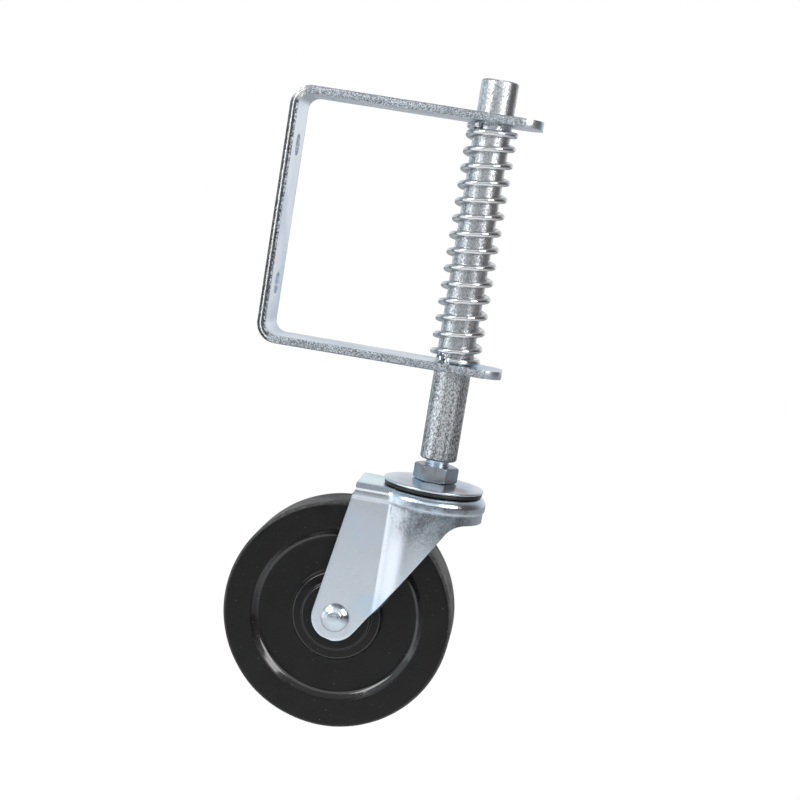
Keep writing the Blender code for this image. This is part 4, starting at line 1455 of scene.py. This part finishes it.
def make_rubber_finish(colours):
    """Hard rubber: satin black faces, a greyer and rougher tread, fine mould grain and a few pale specks.

    Only the rounded steps of the face are glossy, so that they alone catch the lights.
    """
    _, tree, put = shader("wheel_rubber", IOR=1.32, Coat_IOR=1.55, Coat_Roughness=0.09)
    rings = use(tree, "turning_rings", Centre=tuple(AXLE_CENTRE), Across=(1, 0, 1), Rings=5200.0)
    tread = ranged(tree, rings["Distance"], WHEEL_RADIUS - 1.9 * MM, WHEEL_RADIUS - 0.5 * MM)
    grain = use(tree, "speckle", Stretch=(1100, 1100, 1100), Roughness=0.6, Low=0.35, High=0.65)
    smudge = use(tree, "speckle", Stretch=(60, 60, 60), Roughness=0.5, Low=0.42, High=0.66)
    specks = use(tree, "speckle", Stretch=(1100, 1100, 1100), Roughness=0.25, Low=0.765, High=0.79)
    scuffs = use(tree, "speckle", Stretch=(330, 330, 330), Roughness=0.75, Low=0.46, High=0.60)

    dust = times(tree, smudge["Mask"], 0.35)
    dusty = mixed(tree, dust, shade(colours.rubber, 1.0), shade(colours.rubber, 1.9))
    faded = mixed(tree, tread, dusty, shade(colours.rubber_worn, 0.7))
    rubbed = plus(tree, times(tree, grain["Mask"], 0.35), times(tree, scuffs["Mask"], 0.45))
    mottled = mixed(tree, times(tree, tread, rubbed), faded, shade(colours.rubber_worn, 2.6))
    specked = mixed(tree, times(tree, specks["Mask"], 0.6), mottled, (0.30, 0.30, 0.30, 1))
    tree.links.new(specked, put["Base Color"])
    satin = ranged(tree, smudge["Mask"], 0, 1, 0.27, 0.40)
    tree.links.new(plus(tree, satin, times(tree, tread, 0.22)), put["Roughness"])

    def ring_band(inner, outer):
        """One between two distances from the axle."""
        fade = 0.35 * MM
        risen = ranged(tree, rings["Distance"], inner - fade, inner)
        return times(tree, risen, ranged(tree, rings["Distance"], outer, outer + fade, 1, 0))

    steps = maths(tree, "MAXIMUM", ring_band(44.1 * MM, 47.2 * MM), ring_band(24.0 * MM, 25.0 * MM))
    steps = maths(tree, "MAXIMUM", steps, ring_band(18.6 * MM, 19.6 * MM))
    tree.links.new(steps, put["Coat Weight"])
    fine = times(tree, grain["Height"], plus(tree, 0.35, tread))
    height = plus(tree, fine, times(tree, rings["Height"], 0.015))
    tree.links.new(bump(tree, height, 0.00014, 0.6), put["Normal"])


def make_seal_finish(colours):
    """The seal's rubber: matt black with a dusting of pale specks."""
    _, tree, put = shader("seal_lip", IOR=1.5)
    dust = use(tree, "speckle", Stretch=(900, 900, 900), Roughness=0.6, Low=0.58, High=0.70)
    film = times(tree, dust["Mask"], 0.22)
    tree.links.new(mixed(tree, film, shade(colours.seal, 1.0), (0.16, 0.15, 0.14, 1)), put["Base Color"])
    tree.links.new(ranged(tree, dust["Mask"], 0, 1, 0.45, 0.75), put["Roughness"])
    tree.links.new(bump(tree, dust["Height"], 0.0002, 0.6), put["Normal"])


def white_to_camera(tree, lit, seen, output):
    """Shows a plain white source where the camera sees it directly, and the lit one everywhere else."""
    path = node(tree, "ShaderNodeLightPath")
    both = node(tree, "ShaderNodeMixShader", inputs={0: path.outputs["Is Camera Ray"], 1: lit, 2: seen})
    tree.links.new(both.outputs[0], output)


def make_floor_finish(colours):
    """The studio floor: pale, with the faintest change from place to place, and white as seen directly."""
    _, tree, put = shader("studio_floor", Roughness=0.9)
    clouds = use(tree, "speckle", Stretch=(1.5, 1.5, 1.5), Roughness=0.5, Low=0.3, High=0.7)
    pale = mixed(tree, clouds["Mask"], shade(colours.floor, 1.0), shade(colours.floor, 0.985))
    tree.links.new(pale, put["Base Color"])
    white = node(tree, "ShaderNodeEmission", inputs={"Color": WHITE, "Strength": 1.02}).outputs[0]
    surface = tree.nodes["Principled BSDF"].outputs[0]
    white_to_camera(tree, surface, white, tree.nodes["Material Output"].inputs["Surface"])


# ---------------------------------------------------------------------------------------------------------
# Studio
# ---------------------------------------------------------------------------------------------------------


def look_along(way):
    """Rows of a turn whose -Z runs along a direction, with +Y as nearly up as it can be."""
    back = -way / np.linalg.norm(way)
    right = np.cross((0, 0, 1), back)
    right /= np.linalg.norm(right)
    up = np.cross(back, right)
    return np.stack([right, up, back], axis=1).tolist()


def area_light(name, place, aim, size, power):
    """A soft rectangular light at a place, turned to face a point."""
    data = bpy.data.lights.new(name, "AREA")
    data.shape = "RECTANGLE"
    data.size, data.size_y = size
    data.energy = power
    light = bpy.data.objects.new(name, data)
    way = np.array(aim, float) - np.array(place, float)
    light.rotation_euler = Matrix(look_along(way)).to_euler()
    light.location = place
    light.visible_camera = False
    bpy.context.scene.collection.objects.link(light)


def grey_ramp(tree, value, stops):
    """A grey that follows a value from -1 to 1 through a few stops, a little cooler than neutral."""
    ramp = node(tree, "ShaderNodeValToRGB", inputs={"Fac": ranged(tree, value, -1, 1, 0, 1, False)})
    elements = ramp.color_ramp.elements
    while len(elements) < len(stops):
        elements.new(0.5)
    for element, (place, grey) in zip(elements, stops):
        element.position = (place + 1) / 2
        element.color = (grey * 0.98, grey, grey * 1.03, 1)
    return ramp.outputs["Color"]


def make_world(scene):
    """The backdrop: a dark room in front and a pale one behind, each a grey ramp of the height looked at."""
    world = bpy.data.worlds.new("studio")
    scene.world = world
    world.use_nodes = True
    tree = world.node_tree
    tree.nodes.clear()
    way = node(tree, "ShaderNodeTexCoord").outputs["Generated"]
    part = node(tree, "ShaderNodeSeparateXYZ", inputs={"Vector": way}).outputs
    dark_room = ((-1, 0.25), (-0.12, 0.34), (0, 0.13), (0.3, 0.12), (0.6, 0.22), (1, 0.42))
    pale_room = ((-1, 0.3), (-0.1, 0.85), (0.06, 0.95), (0.3, 0.80), (0.6, 0.45), (1, 0.42))
    front = grey_ramp(tree, part["Z"], dark_room)
    back = grey_ramp(tree, part["Z"], pale_room)
    around = mixed(tree, ranged(tree, part["Y"], -0.1, 0.75), front, back)
    around = mixed(tree, ranged(tree, part["X"], 0.5, 0.95), around, (0.12, 0.10, 0.095, 1))
    around = mixed(tree, ranged(tree, part["X"], -0.5, -0.95), around, (0.70, 0.80, 0.83, 1))
    lit = node(tree, "ShaderNodeBackground", inputs={"Color": around, "Strength": 1.0}).outputs[0]
    seen = node(tree, "ShaderNodeBackground", inputs={"Color": WHITE, "Strength": 1.0}).outputs[0]
    white_to_camera(tree, lit, seen, node(tree, "ShaderNodeOutputWorld").inputs["Surface"])


def make_lights():
    """Two tall boxes at the front, a low one at the left, one overhead and a wash over the floor."""
    aim = (0.09, 0, -0.1)
    area_light("left_box", (-0.98, -1.02, 0.66), aim, (0.62, 0.85), 10.0)
    area_light("left_low", (-1.5, -0.8, -0.42), aim, (1.3, 0.8), 2.9)
    area_light("right_box", (1.12, -0.95, 0.56), aim, (0.66, 0.85), 10.8)
    area_light("top", (0.15, 0.25, 1.4), aim, (1.0, 0.6), 2.0)
    area_light("floor_wash", (0, -2.5, 0.6), (0, -2.501, -0.9), (3, 3.2), 32)


def make_floor():
    """One square of floor under the whole studio."""
    half, level = 9, -0.9
    corner = np.array([(-1, -1, 0), (1, -1, 0), (1, 1, 0), (-1, 1, 0)]) * float(half)
    corner[:, 2] = level
    floor = mesh_piece("floor", corner, np.array([[0, 1, 2, 3]]))
    floor.data.materials.append(bpy.data.materials["studio_floor"])


def make_camera(scene):
    """The camera: in front and right of the rod, turned a little to the left, rolled so that the rod leans."""
    camera = bpy.data.cameras.new("camera")
    camera.lens = 70.286
    camera.sensor_width = 36
    viewer = bpy.data.objects.new("camera", camera)
    viewer.location = (0.15201, -0.85185, 0.00769)
    viewer.rotation_euler = Euler([math.radians(turn) for turn in (83.3576, -9.1708, 5.7562)])
    scene.collection.objects.link(viewer)
    scene.camera = viewer


# ---------------------------------------------------------------------------------------------------------
# Operators
# ---------------------------------------------------------------------------------------------------------


class GATEWHEEL_OT_finishes(bpy.types.Operator):
    """Makes the node groups and the materials"""

    bl_idname = "gate_wheel.finishes"
    bl_label = "Finishes"
    bl_options = UNDOABLE

    def execute(self, context):
        for make in (make_speckle, make_clouds, make_rings, make_past_edge, make_round_mark):
            make()
        for make in (
            make_rod_finish,
            make_strap_finish,
            make_fork_finish,
            make_plate_finish,
            make_fastener_finish,
            make_rivet_finish,
            make_wire_finish,
            make_ball_finish,
            make_rubber_finish,
            make_seal_finish,
            make_floor_finish,
        ):
            make(context.scene.gate_wheel_colours)
        return finished(self)


class GATEWHEEL_OT_stage(bpy.types.Operator):
    """Sets up the floor, the lights, the backdrop and the camera"""

    bl_idname = "gate_wheel.stage"
    bl_label = "Stage"
    bl_options = UNDOABLE

    def execute(self, context):
        scene = context.scene
        make_floor()
        make_world(scene)
        make_lights()
        make_camera(scene)
        scene.view_settings.view_transform = "Standard"
        return finished(self)


class GATEWHEEL_OT_bracket(bpy.types.Operator):
    """Bends the strap that bolts to the gate"""

    bl_idname = "gate_wheel.bracket"
    bl_label = "Bracket"
    bl_options = UNDOABLE

    def execute(self, context):
        strap = make_bracket(context.scene.gate_wheel_sizes)
        dress(strap, "strap_zinc", "bracket", "zinc_strap", "gate_bracket")
        return finished(self)


class GATEWHEEL_OT_spring(bpy.types.Operator):
    """Winds the compression spring, which on the real gate wheel shortens as the rod slides up"""

    bl_idname = "gate_wheel.spring"
    bl_label = "Spring"
    bl_options = UNDOABLE

    def execute(self, context):
        coil = make_spring(context.scene.gate_wheel_sizes)
        dress(coil, "bright_wire", "bracket", "spring_steel", "compression_spring")
        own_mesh(coil)
        return finished(self)


class GATEWHEEL_OT_rod(bpy.types.Operator):
    """Turns the sliding rod and rolls its stop pin"""

    bl_idname = "gate_wheel.rod"
    bl_label = "Rod and Pin"
    bl_options = UNDOABLE

    def execute(self, context):
        sizes = context.scene.gate_wheel_sizes
        dress(make_rod(sizes), "rod_zinc", "plunger", "zinc_rod", "plunger_rod")
        dress(make_pin(sizes), "bright_wire", "plunger", "spring_steel", "stop_pin")
        return finished(self)


class GATEWHEEL_OT_fasteners(bpy.types.Operator):
    """Makes the jam nut and the king bolt"""

    bl_idname = "gate_wheel.fasteners"
    bl_label = "Nut and King Bolt"
    bl_options = UNDOABLE

    def execute(self, context):
        sizes = context.scene.gate_wheel_sizes
        dress(make_nut(sizes), "nut_zinc", "plunger", "zinc_fastener", "jam_nut")
        dress(make_king_bolt(sizes), "plate_zinc", "plunger", "zinc_fastener", "king_bolt")
        return finished(self)


class GATEWHEEL_OT_swivel(bpy.types.Operator):
    """Turns the domed plate, the dust seal and the lower race"""

    bl_idname = "gate_wheel.swivel"
    bl_label = "Swivel Plates"
    bl_options = UNDOABLE

    def execute(self, context):
        sizes = context.scene.gate_wheel_sizes
        dress(make_top_plate(sizes), "plate_zinc", "plunger", "zinc_pressing", "top_plate")
        dress(make_seal(sizes), "seal_lip", "plunger", "seal_rubber", "dust_seal")
        dress(make_cup(sizes), "plate_zinc", "plunger", "zinc_pressing", "lower_race_cup")
        return finished(self)


class GATEWHEEL_OT_balls(bpy.types.Operator):
    """Makes both rows of bearing balls"""

    bl_idname = "gate_wheel.balls"
    bl_label = "Balls"
    bl_options = UNDOABLE

    def execute(self, context):
        for body in ("upper_balls", "lower_balls"):
            for ball in frame["record"]["behaviour"]["bodies"][body]:
                dress(make_ball(ball), "bearing_steel", body, "ball_steel", ball)
        return finished(self)


class GATEWHEEL_OT_fork(bpy.types.Operator):
    """Presses the fork from sheet"""

    bl_idname = "gate_wheel.fork"
    bl_label = "Fork"
    bl_options = UNDOABLE

    def execute(self, context):
        sheet = make_fork(context.scene.gate_wheel_sizes)
        dress(sheet, "fork_zinc", "fork", "zinc_pressing", "swivel_fork")
        return finished(self)


class GATEWHEEL_OT_axle(bpy.types.Operator):
    """Makes the axle rivet, its sleeve and its washers"""

    bl_idname = "gate_wheel.axle"
    bl_label = "Axle"
    bl_options = UNDOABLE

    def execute(self, context):
        sizes = context.scene.gate_wheel_sizes
        dress(make_rivet(sizes), "rivet_zinc", "fork", "zinc_fastener", "axle_rivet")
        for cad, name, outer, inner in (
            ("axle_sleeve", "sleeve", 6.7 * MM, 5.3 * MM),
            ("near_washer", "washer_near", 12 * MM, 7.0 * MM),
            ("far_washer", "washer_far", 12 * MM, 7.0 * MM),
        ):
            dress(make_tube(cad, name, outer, inner, sizes), "nut_zinc", "fork", "zinc_fastener", cad)
        return finished(self)


class GATEWHEEL_OT_wheel(bpy.types.Operator):
    """Moulds the wheel round its liner"""

    bl_idname = "gate_wheel.wheel"
    bl_label = "Wheel"
    bl_options = UNDOABLE

    def execute(self, context):
        sizes = context.scene.gate_wheel_sizes
        dress(make_wheel(sizes), "wheel_rubber", "wheel", "hard_rubber", "wheel")
        liner = make_tube("hub_liner", "liner", 9.2 * MM, 7.0 * MM, sizes)
        dress(liner, "bright_wire", "wheel", "spring_steel", "hub_liner")
        return finished(self)


STEPS = (
    "finishes",
    "stage",
    "bracket",
    "spring",
    "rod",
    "fasteners",
    "swivel",
    "balls",
    "fork",
    "axle",
    "wheel",
)


class GATEWHEEL_PT_panel(bpy.types.Panel):
    """Lists the pieces with their sizes and colours"""

    bl_idname = "GATEWHEEL_PT_panel"
    bl_label = "Gate Wheel"
    bl_space_type = "VIEW_3D"
    bl_region_type = "UI"
    bl_category = "Gate Wheel"

    def draw(self, context):
        for step in STEPS:
            self.layout.operator(f"gate_wheel.{step}")
        for values in (context.scene.gate_wheel_sizes, context.scene.gate_wheel_colours):
            column = self.layout.column()
            for name in values.__annotations__:
                column.prop(values, name)


CLASSES = (
    GateWheelSizes,
    GateWheelColours,
    GATEWHEEL_OT_finishes,
    GATEWHEEL_OT_stage,
    GATEWHEEL_OT_bracket,
    GATEWHEEL_OT_spring,
    GATEWHEEL_OT_rod,
    GATEWHEEL_OT_fasteners,
    GATEWHEEL_OT_swivel,
    GATEWHEEL_OT_balls,
    GATEWHEEL_OT_fork,
    GATEWHEEL_OT_axle,
    GATEWHEEL_OT_wheel,
    GATEWHEEL_PT_panel,
)


def register():
    """Adds the properties, the operators and the panel."""
    for kind in CLASSES:
        bpy.utils.register_class(kind)
    bpy.types.Scene.gate_wheel_sizes = PointerProperty(type=GateWheelSizes)
    bpy.types.Scene.gate_wheel_colours = PointerProperty(type=GateWheelColours)


def unregister():
    """Takes away what register added."""
    del bpy.types.Scene.gate_wheel_colours
    del bpy.types.Scene.gate_wheel_sizes
    for kind in reversed(CLASSES):
        bpy.utils.unregister_class(kind)


def main():
    """Makes every piece and the stage."""
    register()
    for step in STEPS:
        getattr(bpy.ops.gate_wheel, step)()
    bpy.context.view_layer.update()


if __name__ == "__main__":
    main()
